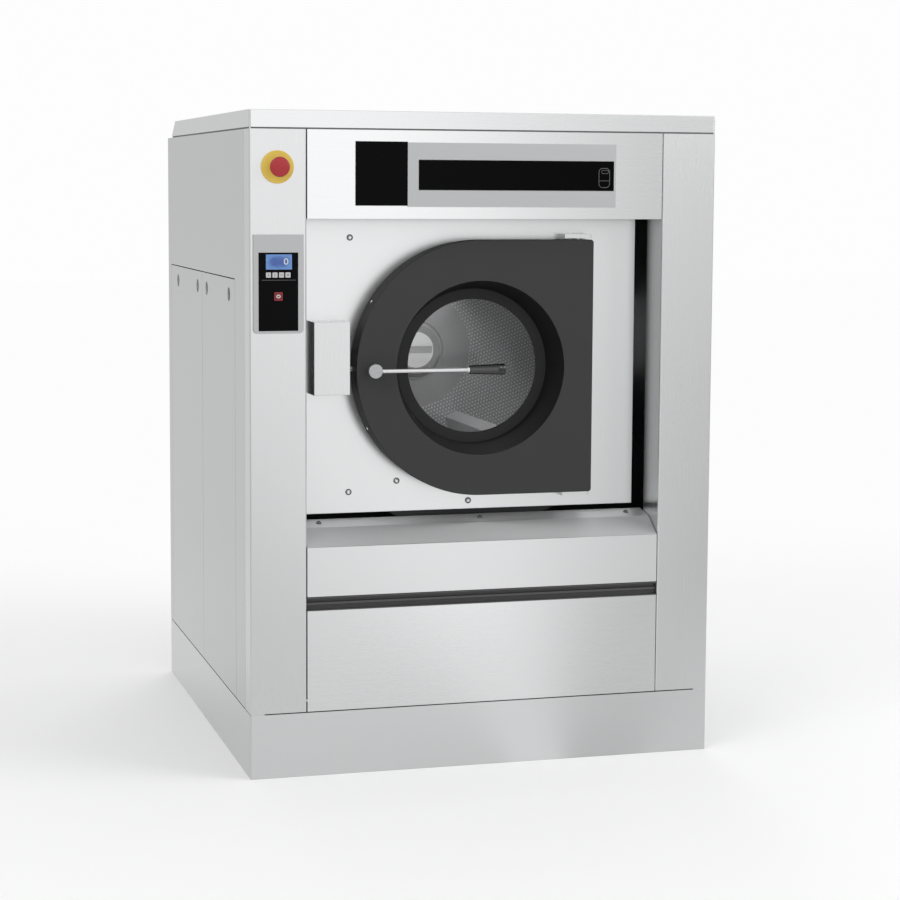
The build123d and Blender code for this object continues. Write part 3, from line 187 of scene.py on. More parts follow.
# %% Values and node trees
class Tone:
    """One value in a node tree. Sums, products and comparisons add their Math nodes."""

    def __init__(self, tree, socket):
        self.tree, self.socket = tree, socket

    def math(self, operation, *values):
        return self.tree.node("ShaderNodeMath", {"operation": operation}, dict(enumerate(values)))

    def __add__(self, other):
        return self.math("ADD", self, other)

    def __sub__(self, other):
        return self.math("SUBTRACT", self, other)

    def __rsub__(self, other):
        return self.math("SUBTRACT", other, self)

    def __mul__(self, other):
        return self.math("MULTIPLY", self, other)

    def __truediv__(self, other):
        return self.math("DIVIDE", self, other)

    def __gt__(self, other):
        return self.math("GREATER_THAN", self, other)

    def __lt__(self, other):
        return self.math("LESS_THAN", self, other)

    __radd__ = __add__
    __rmul__ = __mul__

    def call(self, operation, *others):
        """Any other Math node, such as SINE or FRACT, on this value."""
        return self.math(operation, self, *others)

    def ramp(self, low, high, to_low=0.0, to_high=1.0):
        """This value carried from one range to another with soft ends, and held beyond them."""
        return self.tree.node("ShaderNodeMapRange", {"interpolation_type": "SMOOTHSTEP"},
                              {0: self, 1: low, 2: high, 3: to_low, 4: to_high})


class Tree:
    """A node tree of a material or a world. node() adds any node: its type, settings and inputs."""

    def __init__(self, owner):
        owner.use_nodes = True
        self.owner, self.tree = owner, owner.node_tree
        self.tree.nodes.clear()

    def node(self, kind, settings=None, values=None, output=0):
        made = self.tree.nodes.new(kind)
        for key, value in (settings or {}).items():
            setattr(made, key, value)
        for key, value in (values or {}).items():
            if isinstance(value, Tone):
                self.tree.links.new(value.socket, made.inputs[key])
            else:
                made.inputs[key].default_value = value
        return Tone(self, made.outputs[output]) if made.outputs else None

    def coordinates(self):
        """Object coordinates as a vector, in metres."""
        return self.node("ShaderNodeTexCoord", output="Object")

    def split(self, vector):
        """The three numbers of a vector."""
        return [self.node("ShaderNodeSeparateXYZ", values={0: vector}, output=i) for i in range(3)]

    def noise(self, scale, detail=2.0):
        """Noise from 0 to 1. scale says for each axis how many waves there are in a metre."""
        place = self.node("ShaderNodeVectorMath", {"operation": "MULTIPLY"},
                          {0: self.coordinates(), 1: scale})
        return self.node("ShaderNodeTexNoise",
                         values={"Vector": place, "Scale": 1.0, "Detail": detail})

    def shaded(self, colour, amount):
        """A colour made lighter or darker by a value."""
        colour = colour if isinstance(colour, Tone) else colour[:3]
        return self.node("ShaderNodeVectorMath", {"operation": "SCALE"}, {0: colour, "Scale": amount})

    def mixed(self, amount, colour_a, colour_b):
        """The first colour where amount is 0, the second where it is 1."""
        return self.node("ShaderNodeMix", {"data_type": "RGBA"},
                         {0: amount, 6: colour_a, 7: colour_b}, output=2)

    def bump(self, height, strength, distance):
        """Height from 0 to 1 as a relief that is distance metres deep, at a share of its strength."""
        return self.node("ShaderNodeBump",
                         values={"Height": height, "Strength": strength, "Distance": distance})

    def rays(self, kind):
        """1 for rays of a kind, Camera, Glossy or Transmission, and 0 for all others."""
        return self.node("ShaderNodeLightPath", output=f"Is {kind} Ray")

    def surface(self, **values):
        """The material's one shader, from the names of its sockets with _ for a space."""
        values = {key.replace("_", " "): value for key, value in values.items()}
        shader = self.node("ShaderNodeBsdfPrincipled", values=values)
        self.node("ShaderNodeOutputMaterial", values={"Surface": shader})
        return self.owner


def new_tree(name):
    return Tree(bpy.data.materials.new(name))


def off_axis(x, z, centre_x=0.0):
    """Distance from a level line that runs from front to back at the height of the drum's axis."""
    across, up = x - centre_x, z - drum_z
    return (across * across + up * up).call("SQRT")


# %% [markdown]
# ## Brushed steel
# The casing is stainless steel with a fine grain, all strokes one way on a panel. The grain is
# noise that is stretched nearly two hundred times along the stroke. It changes the colour a little
# and the roughness more, since the grain is what blurs the reflections. A slower noise makes the
# sheet a little uneven, as rolled sheet is. Strokes also smear a reflection across themselves. The
# shader's Anisotropic does that, and a quarter turn changes the smear from sideways, for upright
# strokes, to up and down, for level ones.


# %% Steel with a grain
UPRIGHT, LEVEL = (900, 900, 5), (5, 5, 900)
QUARTER_TURN = 0.25
GRAIN_STRENGTH, GRAIN_DEPTH = 0.035, 0.00010
STEEL = (0.74, 0.745, 0.75, 1)


def steel(name, colour, grain, roughness=0.28, smear=0.6):
    """A brushed sheet. The strokes and a slow cloud each change its colour by up to 3 percent."""
    tree = new_tree(name)
    strokes = tree.noise(grain, detail=3.0)
    cloud = tree.noise((2.1, 2.1, 1.6), detail=1.0)
    shade = 0.97 + 0.03 * strokes + 0.03 * (cloud - 0.5)
    return tree.surface(
        Base_Color=tree.shaded(colour, shade),
        Metallic=1.0,
        Roughness=roughness + 0.05 * (strokes - 0.5) + 0.03 * (cloud - 0.5),
        Anisotropic=smear,
        Anisotropic_Rotation=0.0 if grain == UPRIGHT else QUARTER_TURN,
        Normal=tree.bump(strokes, GRAIN_STRENGTH, GRAIN_DEPTH),
    )


steel_upright = steel("steel_upright_grain", STEEL, UPRIGHT)
steel_level = steel("steel_level_grain", STEEL, LEVEL)
steel_lid = steel("steel_lid", STEEL, LEVEL, smear=0.0)
steel_side = steel("steel_side_panels", (0.67, 0.675, 0.68, 1), UPRIGHT, roughness=0.36)
steel_plinth = steel("steel_plinth", (0.68, 0.685, 0.69, 1), LEVEL, roughness=0.34)
steel_plate = steel("steel_front_plate", (0.765, 0.77, 0.775, 1), UPRIGHT, roughness=0.29, smear=0.2)
# The tub is nearly black: painted shade for the dark gap under the front plate, through which it shows.
tub_painted_shade = steel("tub_painted_shade", (0.045, 0.045, 0.046, 1), UPRIGHT, roughness=0.60, smear=0.0)
steel_lifter = steel("steel_lifters", (0.56, 0.56, 0.565, 1), LEVEL, roughness=0.45, smear=0.0)
bezel_metal = steel("bezel_metal", (0.50, 0.505, 0.51, 1), LEVEL, roughness=0.42, smear=0.0)
print("steel finishes", 9)

# %% [markdown]
# ## The ledge under the door
# The ledge is one sheet, folded along its front edge. Its slope is duller than the face below it.
# The fold lies at the front of the casing, so the depth of a point tells the two apart.

# %% Ledge steel
ledge = new_tree("steel_ledge")
ledge_strokes = ledge.noise(LEVEL, detail=3.0)
slope = ledge.split(ledge.coordinates())[1] > front + 1.5 * MM
ledge_colour = ledge.mixed(slope, (0.76, 0.765, 0.77, 1), STEEL)
steel_ledge = ledge.surface(
    Base_Color=ledge.shaded(ledge_colour, 0.97 + 0.03 * ledge_strokes),
    Metallic=1.0,
    Roughness=0.34 + 0.22 * slope + 0.05 * (ledge_strokes - 0.5),
    Anisotropic=0.3,
    Anisotropic_Rotation=QUARTER_TURN,
    Normal=ledge.bump(ledge_strokes, GRAIN_STRENGTH, GRAIN_DEPTH),
)
print("slope of the ledge begins at", round(front + 1.5 * MM, 4))

# %% [markdown]
# ## Paint, plastic and rubber
# These are not metals to the light: their colour comes from within, and a clear, soft highlight
# lies on top. Sprayed paint has a very fine orange-peel texture, and moulded plastic a finer grain.
# Cast, plated and galvanised metals are made in the same way, with Metallic raised.


# %% Painted, moulded and cast finishes
def coated(name, colour, roughness, texture=700, depth=0.00006, strength=0.25, metallic=0.0,
           mottle=0.08, specular=0.5):
    """A fine relief of texture waves in a metre, under a colour that a slow noise changes by mottle."""
    tree = new_tree(name)
    grain = tree.noise((texture, texture, texture), detail=2.0)
    cloud = tree.noise((9, 9, 9), detail=1.0)
    return tree.surface(
        Base_Color=tree.shaded(colour, 1 - mottle / 2 + mottle * cloud),
        Metallic=metallic,
        Roughness=roughness + 0.08 * (grain - 0.5) + 0.06 * (cloud - 0.5),
        Specular_IOR_Level=specular,
        Normal=tree.bump(grain, strength, depth),
    )


black_gloss = coated("black_gloss", (0.002, 0.002, 0.002, 1), 0.18, texture=200, strength=0.03,
                     specular=0.03)
grip_black = coated("grip_black", (0.004, 0.004, 0.0045, 1), 0.16, texture=600, strength=0.05,
                    specular=0.8)
black_matt = coated("black_matt", (0.003, 0.003, 0.0035, 1), 0.45, texture=900, specular=0.04)
key_grey = coated("key_grey", (0.47, 0.47, 0.475, 1), 0.45, texture=1200)
key_red = coated("key_dark_red", (0.14, 0.006, 0.010, 1), 0.35, texture=1200)
stop_red = coated("stop_red", (0.34, 0.014, 0.020, 1), 0.42, texture=800)
stop_yellow = coated("stop_yellow", (0.66, 0.47, 0.075, 1), 0.42, texture=900)
channel_paint = coated("channel_paint", (0.070, 0.070, 0.070, 1), 0.45, texture=350)
frame_paint = coated("frame_paint", (0.045, 0.045, 0.048, 1), 0.50, texture=350)
galvanised = coated("galvanised_sheet", (0.46, 0.47, 0.48, 1), 0.40, texture=60, metallic=0.85,
                    mottle=0.2)
latch_zinc = coated("latch_zinc", (0.20, 0.20, 0.205, 1), 0.45, texture=500, metallic=0.6)
cast_iron = coated("cast_iron", (0.06, 0.06, 0.065, 1), 0.62, texture=260, depth=0.0004,
                   metallic=0.3)
motor_alloy = coated("motor_alloy", (0.22, 0.24, 0.26, 1), 0.48, texture=300, depth=0.0002,
                     metallic=0.2)
rubber = coated("rubber", (0.012, 0.012, 0.012, 1), 0.72, texture=500)
tray_plastic = coated("tray_plastic", (0.50, 0.50, 0.48, 1), 0.48, texture=1000)
brass = coated("brass", (0.58, 0.40, 0.16, 1), 0.30, texture=400, metallic=1.0)
mark_pale = coated("pale_print", (0.55, 0.55, 0.55, 1), 0.55, texture=1500, mottle=0.2)
mark_dim = coated("dim_print", (0.12, 0.115, 0.11, 1), 0.45, texture=1500, mottle=0.3)
mark_dark = coated("dark_print", (0.05, 0.05, 0.055, 1), 0.55, texture=1500)
print("coated finishes", 19)

# %% [markdown]
# ## The door's paint and its painted shade
# The door's face and the ring around its window are dark grey paint. Its edge and the cone behind
# the face are painted a duller, deeper black, which is painted shade: the shade along the door's
# side and inside the cone. Both parts are one sheet each, so each material changes colour where the
# sheet turns: behind the face by depth, and outside the ring by the distance from the drum's axis.

# %% Door paint and painted shade
cover_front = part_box("door_cover")[0].y
ring_reach = (glass_high.z - glass_low.z) / 2 + 18 * MM
SHADE_BLACK = (0.007, 0.007, 0.0075, 1)


def door_coat_and_shade(name, grey, deep):
    """Grey paint with an orange-peel texture, and near-black painted shade where deep(y, from_axis) is
    1.
    """
    tree = new_tree(name)
    x, y, z = tree.split(tree.coordinates())
    # Painted shade: near black on the door's edge and on the cone, where they lie in shade.
    painted_shade = deep(y, off_axis(x, z))
    peel = tree.noise((420, 420, 420), detail=2.0)
    cloud = tree.noise((9, 9, 9), detail=1.0)
    paint = tree.mixed(painted_shade, (grey, grey, grey * 1.03, 1), SHADE_BLACK)
    return tree.surface(
        Base_Color=tree.shaded(paint, 0.96 + 0.08 * cloud),
        Roughness=0.48 + 0.08 * (peel - 0.5) + 0.06 * (cloud - 0.5) + 0.10 * painted_shade,
        Specular_IOR_Level=0.2,
        Normal=tree.bump(peel, 0.25, 0.00006),
    )


# The edge of the door's cover and the cone of its pan carry the near-black painted shade.
door_paint = door_coat_and_shade("door_paint", 0.036, lambda y, from_axis: y > cover_front + 2 * MM)
pan_paint_and_cone_shade = door_coat_and_shade("door_pan_paint_and_cone_shade", 0.020, lambda y, from_axis: from_axis > ring_reach)
print("ring of the window", round(ring_reach / MM, 1), "mm from the axis")

# %% [markdown]
# ## Bright steel
# The lever, the bolt and the screws are polished or plated. They keep almost clear reflections,
# with the faint strokes of the tool that polished them. The flat face of the lever's hub is duller
# than its rod.

# %% Polished steel
lever_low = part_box("door_handle")[0]
hub_x, hub_reach = lever_low.x + 20 * MM, 20.5 * MM


def bright(name, dull=None, shine=0.76):
    """Polished steel, greyer and rougher where dull(x, z) is 1."""
    tree = new_tree(name)
    scratches = tree.noise((1400, 60, 1400), detail=2.0)
    share = 0.0
    if dull:
        x, _, z = tree.split(tree.coordinates())
        share = dull(x, z)
    colour = tree.mixed(share, (shine, shine, shine * 1.01, 1), (0.44, 0.445, 0.45, 1))
    return tree.surface(
        Base_Color=tree.shaded(colour, 0.96 + 0.06 * scratches),
        Metallic=1.0,
        Roughness=0.18 + 0.10 * scratches + 0.16 * share,
        Normal=tree.bump(scratches, 0.05, 0.00005),
    )


bright_steel = bright("bright_steel")
lever_steel = bright("lever_steel", lambda x, z: off_axis(x, z, hub_x) < hub_reach, shine=0.66)
print("lever hub at", round(hub_x / MM, 1), "mm")

# %% [markdown]
# ## The cap on the drum's hub
# Behind the window, a pale round cap sits in the middle of the drum, in a darker hub. A grey band,
# painted shade in a slot, crosses the cap. Both are flat marks on one turned part, so the material
# draws them, by the distance from the axis and the height above it.

# %% Cap steel
cap_reach, cap_rim, slot_half = 57 * MM, 1.5 * MM, 11 * MM
slot_reach = cap_reach * 0.92
cap = new_tree("drum_cap_steel")
cap_x, _, cap_z = cap.split(cap.coordinates())
cap_from_axis = off_axis(cap_x, cap_z)
in_hub = cap_from_axis.ramp(cap_reach - cap_rim, cap_reach)
in_slot = (cap_z - drum_z).call("ABSOLUTE") < slot_half
# The grey band across the cap is painted shade in its slot.
slot_shade = in_slot * (cap_from_axis < slot_reach)
cap_colour = cap.mixed(in_hub, (0.74, 0.74, 0.74, 1), (0.24, 0.24, 0.24, 1))
cap_steel = cap.surface(
    Base_Color=cap.mixed(slot_shade, cap_colour, (0.42, 0.42, 0.42, 1)),
    Metallic=0.15,
    Roughness=0.45 + 0.10 * cap.noise((300, 300, 300)),
)
print("cap", round(2 * cap_reach / MM, 1), "mm across")

# %% [markdown]
# ## The drum
# The drum is satin steel pressed full of small dimples, which show through the window as slanted
# rows of lighter dots. The lighter colour of the dots is a painted highlight, and a bump gives their
# relief. The big drain holes are real. The dimples are far smaller, so they are drawn by the
# material: the surface is cut into square cells with every other row shifted, and each cell gets a
# round hill. On the wall the cells run round the axis, and on the back they lie flat, outside a
# smooth middle.


# %% Rows of dimples
def dots(across, along, pitch, radius):
    """1 on round dots and 0 between them. Every other row is shifted by half a pitch."""
    row = along / pitch
    shift = (row * 0.5).call("FRACT") > 0.5
    column = (across / pitch + 0.5 * shift).call("FRACT") - 0.5
    level = row.call("FRACT") - 0.5
    distance = (column * column + level * level).call("SQRT") * pitch
    return distance.ramp(radius, radius * 0.55)


dimple_pitch, dimple_radius = 0.0105, 0.0033
wall_radius, wall_begins, bare_middle, bare_edge = 0.448, 0.440, 0.176, 0.006

# The rows on the back lean by 20 degrees.
lean_cos, lean_sin = 0.94, 0.34

drum = new_tree("drum_steel")
drum_x, drum_y, drum_height = drum.split(drum.coordinates())
drum_up = drum_height - drum_z
from_axis = off_axis(drum_x, drum_height)
turn = drum_up.call("ARCTAN2", drum_x)
wall_dots = dots(turn * wall_radius, drum_y, dimple_pitch, dimple_radius)
lean_x = drum_x * lean_cos + drum_up * lean_sin
lean_z = drum_up * lean_cos - drum_x * lean_sin
dotted = from_axis.ramp(bare_middle, bare_middle + bare_edge)
back_dots = dots(lean_x, lean_z, dimple_pitch, dimple_radius) * dotted
on_wall = from_axis > wall_begins
dimples = wall_dots * on_wall + back_dots * (1 - on_wall)
drum_cloud = drum.noise((4, 4, 4), detail=1.0)
# The dimples' lighter base colour is a painted highlight; their bump is their relief.
drum_steel = drum.surface(
    Base_Color=drum.mixed(dimples, (0.35, 0.35, 0.355, 1), (0.68, 0.68, 0.685, 1)),
    Metallic=0.45,
    Roughness=0.40 + 0.10 * (drum_cloud - 0.5) - 0.08 * dimples,
    Normal=drum.bump(dimples, 0.55, 0.0010),
)
print("dimples every", round(dimple_pitch / MM, 1), "mm")

# %% [markdown]
# ## The window
# The glass is a clear bowl. A real glass shader would keep the lamps' light out of the drum, so the
# window is a thin see-through coat instead: mostly open, with a sharp reflection and a faint grey
# of its own.

# %% Window glass
pane = new_tree("window_glass")
pane_haze = pane.noise((7, 7, 7), detail=3.0)
window_glass = pane.surface(
    Base_Color=(0.10, 0.105, 0.105, 1),
    Roughness=0.03 + 0.05 * pane_haze,
    Alpha=0.22,
    Coat_Weight=0.6,
    Coat_Roughness=0.02,
)
print("window", round((glass_high.z - glass_low.z) / MM), "mm across")

# %% [markdown]
# ## The display
# The display is a small blue liquid-crystal window that glows. It is paler along its edges, and a
# fine grid of cells and a slow noise keep it from looking like plain paint.

# %% Blue display
display_low, display_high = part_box("display_window")
lcd = new_tree("display_blue")
lcd_x, _, lcd_z = lcd.split(lcd.coordinates())
share_x = (lcd_x - display_low.x) / (display_high.x - display_low.x)
share_z = (lcd_z - display_low.z) / (display_high.z - display_low.z)
edge = (share_x * (1 - share_x) * share_z * (1 - share_z)) * 16
cell_size, cell_gap = 0.0011, 0.16
cell_x, cell_z = ((place / cell_size).call("FRACT") for place in (lcd_x, lcd_z))
cells = cell_x.ramp(0.0, cell_gap) * cell_z.ramp(0.0, cell_gap)
blotch = lcd.noise((90, 90, 120), detail=2.0)
glow = lcd.mixed(edge.ramp(0.0, 0.9), (0.085, 0.19, 0.42, 1), (0.035, 0.085, 0.27, 1))
lit = lcd.shaded(glow, (0.86 + 0.14 * cells) * (0.80 + 0.4 * blotch))
display_blue = lcd.surface(
    Base_Color=lit,
    Roughness=0.18,
    Emission_Color=lit,
    Emission_Strength=0.22,
)
print("display", round((display_high.x - display_low.x) / MM, 1), "mm wide")

# %% [markdown]
# ## Give each node its finish
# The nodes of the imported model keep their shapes. Each one's material slots are filled with one of
# ours.

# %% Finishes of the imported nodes
finishes = {
    steel_upright: "left_front_post right_front_post lock_box door_hinge",
    steel_level: "header_panel service_panel",
    steel_lid: "top_lid",
    steel_ledge: "ledge_panel",
    bezel_metal: "dispenser_bezel control_bezel",
    steel_side: "left_side_panel left_access_panel_front left_access_panel_rear right_side_panel",
    steel_plinth: "plinth",
    steel_plate: "front_plate",
    tub_painted_shade: "tub",
    steel_lifter: "drum_lifters",
    galvanised: "rear_panel",
    door_paint: "door_cover",
    pan_paint_and_cone_shade: "door_pan",
    window_glass: "door_glass",
    rubber: "door_gasket drive_belts",
    lever_steel: "door_handle",
    cap_steel: "drum_shaft",
    bright_steel: "latch_bolt estop_stem suspension_springs damper_rods plate_screws",
    black_matt: "keypad drain_outlet cable_gland",
    black_gloss: "sign_plate dispenser_flap",
    grip_black: "handle_grip",
    key_grey: "key_1 key_2 key_3 key_4",
    key_red: "stop_key",
    stop_red: "estop_button",
    stop_yellow: "estop_collar",
    display_blue: "display_window",
    tray_plastic: "dispenser_tray drain_valve",
    frame_paint: "base_frame damper_tubes",
    channel_paint: "grip_channel",
    latch_zinc: "quarter_turn_latch_1 quarter_turn_latch_2 quarter_turn_latch_3 quarter_turn_latch_4",
    cast_iron: "bearing_housing driven_pulley motor_pulley",
    motor_alloy: "motor",
    brass: "water_inlets",
    drum_steel: "drum_shell",
}
dressed = {name: material for material, names in finishes.items() for name in names.split()}
for name, node in nodes.items():
    if not node.material_slots:
        node.data.materials.append(dressed[name])
    for place in node.material_slots:
        place.material = dressed[name]
print("dressed", len(dressed), "nodes; without a finish:", sorted(set(nodes) - set(dressed)))

# %% [markdown]
# ## Screws
# Small screws hold the front plate, the ledge, the rim of the door and the rear panel. A screw is a
# turned head with a hexagon sunk into it: the rows of the socket use a radius that follows a
# hexagon, the outer rows a circle. Each screw of the front plate stands in a dark ring, which is
# painted shade of the gap round its head.


# %% Socket screws
def hexagon(angle):
    """How far a hexagon reaches at each angle, as a share of the distance to its flats."""
    return 1 / np.cos((angle + np.pi / 6) % (np.pi / 3) - np.pi / 6)


def screw(centre, axis, radius, height):
    """A washer, a domed head and a six-sided socket, standing out along the axis."""
    sides = 24
    angle = np.linspace(0, 2 * np.pi, sides, endpoint=False)
    socket_rows = [(0, 0.45), (0.38, 0.45), (0.38, 0.97)]
    head_rows = [(0.62, 1.0), (0.74, 0.93), (0.80, 0.75), (0.80, 0.22), (1, 0.18), (1, 0.0), (0, 0)]
    rows = [(*row, hexagon(angle)) for row in socket_rows]
    rows += [(*row, np.ones(sides)) for row in head_rows]
    side, up, along = axes_of(axis)
    points = []
    for reach, share, outline in rows:
        r = radius * reach * outline
        ring = np.cos(angle)[:, None] * side + np.sin(angle)[:, None] * up
        points.append(np.array(centre, float) + r[:, None] * ring + share * height * along)
    return np.concatenate(points), grid_faces(len(rows), sides)


# Dark steel for the ledge screws, and painted shade for the rings round the plate screws.
screw_steel_and_ring_shade = coated("screw_steel_and_ring_shade", (0.16, 0.16, 0.165, 1), 0.40, texture=900, metallic=1.0)

# Places on the plate, as shares of half its width and of its height.
plate_shares = [(-0.736, 0.887), (-0.742, 0.068), (-0.456, 0.1), (-0.022, 0.028)]
plate_places = [(x * plate_high.x, plate_low.y, plate_low.z + z * (plate_high.z - plate_low.z))
                for x, z in plate_shares]
heads = [screw(place, FRONTWARD, 6 * MM, 5 * MM) for place in plate_places]
plate_heads = piece("plate_screw_heads", together(*heads), "wash_group", bright_steel)
# Each ring is painted shade of the gap round a screw's head.
shade_ring_profile = [(5.6, 0), (9, 0), (9, 1.4), (8.2, 2.2), (6.4, 2.2), (5.6, 1.2), (5.6, 0)]
shade_ring_profile = [(r * MM, d * MM) for r, d in shade_ring_profile]
shade_rings = [turned(shade_ring_profile, place, FRONTWARD, sides=32) for place in plate_places]
piece("plate_screw_shade_rings", together(*shade_rings), "wash_group", screw_steel_and_ring_shade)
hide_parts("plate_screws")

# %% Screws on the ledge
# The slope ends 142 mm behind the front and falls 13 mm over its last 70 mm. The screws stand
# square to it.
ledge_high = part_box("ledge_panel")[1]
ledge_depth, slope_end, slope_length, slope_fall = 108 * MM, 142 * MM, 70 * MM, 13 * MM
ledge_z = ledge_high.z - slope_fall * (slope_end - ledge_depth) / slope_length
slope_way = (0, -0.183, 0.983)
ledge_places = [(x * MM, front + ledge_depth, ledge_z) for x in (-461, 14, 460)]
heads = [screw(place, slope_way, 8 * MM, 5 * MM) for place in ledge_places]
piece("ledge_screws", together(*heads), "cabinet", screw_steel_and_ring_shade)

# %% Screws on the door's rim
pan_low, pan_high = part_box("door_pan")
seat_radius = (pan_high.z - pan_low.z) / 2 - 0.2 * MM
rim_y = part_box("door_cover")[1].y + 12 * MM
rim_screws = []
for degrees in (100, 148.5, 208, 255):
    across, rise = math.cos(math.radians(degrees)), math.sin(math.radians(degrees))
    place = (across * seat_radius, rim_y, drum_z + rise * seat_radius)
    rim_screws.append(screw(place, (across, 0, rise), 5 * MM, 3 * MM))
piece("door_rim_screws", together(*rim_screws), "door", bright_steel)

# %% [markdown]
# ## The emergency stop
# The red head of an emergency stop is a smooth mushroom: a shallow dome, a round lip and a short
# neck. It is turned from one profile.

# %% Mushroom head
head_low, head_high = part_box("estop_button")
head_x, _, head_z = middle(head_low, head_high)
head_radius = (head_high.x - head_low.x) / 2 + 1.5 * MM
head_front, head_back = head_low.y, head_high.y
dome_depth, dome_power = 4.4 * MM, 2.2


def dome(radius):
    """How far the dome has fallen behind its crown: its depth times a power of the radius's share."""
    return dome_depth * (radius / head_radius) ** dome_power


crown = np.linspace(0, head_radius * 0.93, 14)
lip = [(0.975, 5.2), (1.0, 8.0), (1.0, 10.5), (0.985, 12.6), (0.94, 14.0), (0.86, 14.8), (0.68, 15.2),
       (0.65, 15.6)]
head_profile = [(r, -dome(r)) for r in crown] + [(r * head_radius, -d * MM) for r, d in lip]
head_profile += [(share * head_radius, head_front - head_back) for share in (0.65, 0.44)]
head_shape = turned(head_profile, (head_x, head_front, head_z), FRONTWARD, sides=64)
mushroom = piece("estop_mushroom", head_shape, "estop_button", stop_red)
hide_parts("estop_button")

# %% [markdown]
# ## Printed marks
# Marks on the controls are a coat of ink, so each one is a flat bead a tenth of a millimetre thick,
# carried along a path on the panel: a nought, a gauge and bars on the display, signs on the keys, a
# line under them, a ring and a border on the stop key and the outline of a soap jug on the flap.


# %% Ink on a front face
def ink(path, width, y, loop=True):
    """A flat bead on a face that looks to the front. The path is in x and z, in metres."""
    path = np.array(path, float)
    points = np.stack([path[:, 0], np.full(len(path), y), path[:, 1]], axis=-1)
    half, rise, sunk = width / 2, 0.12 * MM, -0.02 * MM
    return carried(points, [(-half, sunk), (-half, rise), (half, rise), (half, sunk)], FRONTWARD, loop)


def rounded_outline(x, z, width, height, radius, steps=8):
    """The outline of a rounded rectangle: four quarter turns, joined by straight sides."""
    quarter = np.linspace(0, np.pi / 2, steps)
    turns = np.concatenate([quarter + k * np.pi / 2 for k in range(4)])
    corner_x = np.repeat([1, -1, -1, 1], steps) * (width / 2 - radius)
    corner_z = np.repeat([1, 1, -1, -1], steps) * (height / 2 - radius)
    round_x, round_z = radius * np.cos(turns), radius * np.sin(turns)
    return np.stack([x + corner_x + round_x, z + corner_z + round_z], axis=-1)


def line(x0, z0, x1, z1):
    """A straight path of three points."""
    return [(x0, z0), ((x0 + x1) / 2, (z0 + z1) / 2), (x1, z1)]


# %% Marks on the display and the keypad
lcd_y0 = display_low.y
lcd_width, lcd_height = display_high.x - display_low.x, display_high.z - display_low.z
nought_x, lcd_mid = display_low.x + 0.775 * lcd_width, display_low.z + 0.53 * lcd_height
nought = ink(rounded_outline(nought_x, lcd_mid, 9.5 * MM, 14 * MM, 4.2 * MM), 2.6 * MM, lcd_y0)
piece("display_nought", nought, "cabinet", mark_pale)

gauge_x = display_low.x + 0.30 * lcd_width
gauge = []
for size, radius, width in ((17 * MM, 8.4 * MM, 1.3 * MM), (9 * MM, 4.4 * MM, 1.0 * MM)):
    gauge.append(ink(rounded_outline(gauge_x, lcd_mid, size, size, radius), width, lcd_y0))
for step in range(3):
    bar_x = display_low.x + (0.50 + 0.06 * step) * lcd_width
    bar = line(bar_x, lcd_mid - 6 * MM, bar_x, lcd_mid - (1 - 2 * step) * MM)
    gauge.append(ink(bar, 1.6 * MM, lcd_y0, False))
segment_blue = coated("segment_blue", (0.018, 0.05, 0.24, 1), 0.35, texture=900)
piece("display_gauge", together(*gauge), "cabinet", segment_blue)

keypad_low, keypad_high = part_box("keypad")
line_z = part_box("key_1")[0].z - 6 * MM
line_path = line(keypad_low.x + 9 * MM, line_z, keypad_high.x - 6 * MM, line_z)
keypad_line = ink(line_path, 1.0 * MM, keypad_low.y, False)
piece("keypad_line", keypad_line, "cabinet", mark_dim)

# %% Signs on the keys
key_reach, key_stroke = 3.2 * MM, 1.3 * MM
key_paths = {
    1: [[(0.5, 1), (-0.5, 0), (0.5, -1)]],
    2: [[(-0.5, 1), (0.5, 0), (-0.5, -1)]],
    3: [line(-1, 0, 1, 0)],
    4: [line(-1, 0, 1, 0), line(0, -1, 0, 1)],
}
for number, paths in key_paths.items():
    low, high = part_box(f"key_{number}")
    x, _, z = middle(low, high)
    placed = [np.array((x, z)) + key_reach * np.array(path) for path in paths]
    sign = [ink(path, key_stroke, low.y, False) for path in placed]
    piece(f"key_{number}_sign", together(*sign), f"key_{number}", mark_dark)

# %% Marks on the stop key
stop_low, stop_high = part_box("stop_key")
stop_x, _, stop_z = middle(stop_low, stop_high)
ring_wide, ring_high = 4.8 * MM, 3.6 * MM
around = np.linspace(0, 2 * np.pi, 40, endpoint=False)
ring_x, ring_z = stop_x + ring_wide * np.cos(around), stop_z + ring_high * np.sin(around)
stop_ring = np.stack([ring_x, ring_z], axis=-1)
piece("stop_key_ring", ink(stop_ring, 2.4 * MM, stop_low.y), "stop_key", mark_pale)
stop_border = ink(rounded_outline(stop_x, stop_z, 20.6 * MM, 20.6 * MM, 1.2 * MM), 1.6 * MM, stop_low.y)
border_red = coated("border_red", (0.30, 0.010, 0.016, 1), 0.4, texture=900)
piece("stop_key_border", stop_border, "stop_key", border_red)

# %% Soap jug on the flap
flap_low, flap_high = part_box("dispenser_flap")
flap_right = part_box("dispenser_bezel")[1].x
jug_x, jug_z = flap_right - 35 * MM, middle(flap_low, flap_high)[2] - 5 * MM
jug_body = rounded_outline(jug_x, jug_z, 32 * MM, 54 * MM, 11 * MM)
jug_opening = rounded_outline(jug_x + 2 * MM, jug_z + 17 * MM, 20 * MM, 9 * MM, 3 * MM)
jug_level = line(jug_x - 15 * MM, jug_z - 8 * MM, jug_x + 15 * MM, jug_z - 8 * MM)
jug = [ink(jug_body, 1.3 * MM, flap_low.y), ink(jug_opening, 1.0 * MM, flap_low.y),
       ink(jug_level, 1.1 * MM, flap_low.y, False)]
piece("flap_jug_sign", together(*jug), "dispenser_flap", mark_dim)

# %% [markdown]
# ## The lever's grip
# The grip is moulded plastic over the end of the rod: a taper that swells towards the end, a shallow
# ring groove and a rounded tip. One turned profile gives all of it. A second one gives the thin
# steel collar at its foot.

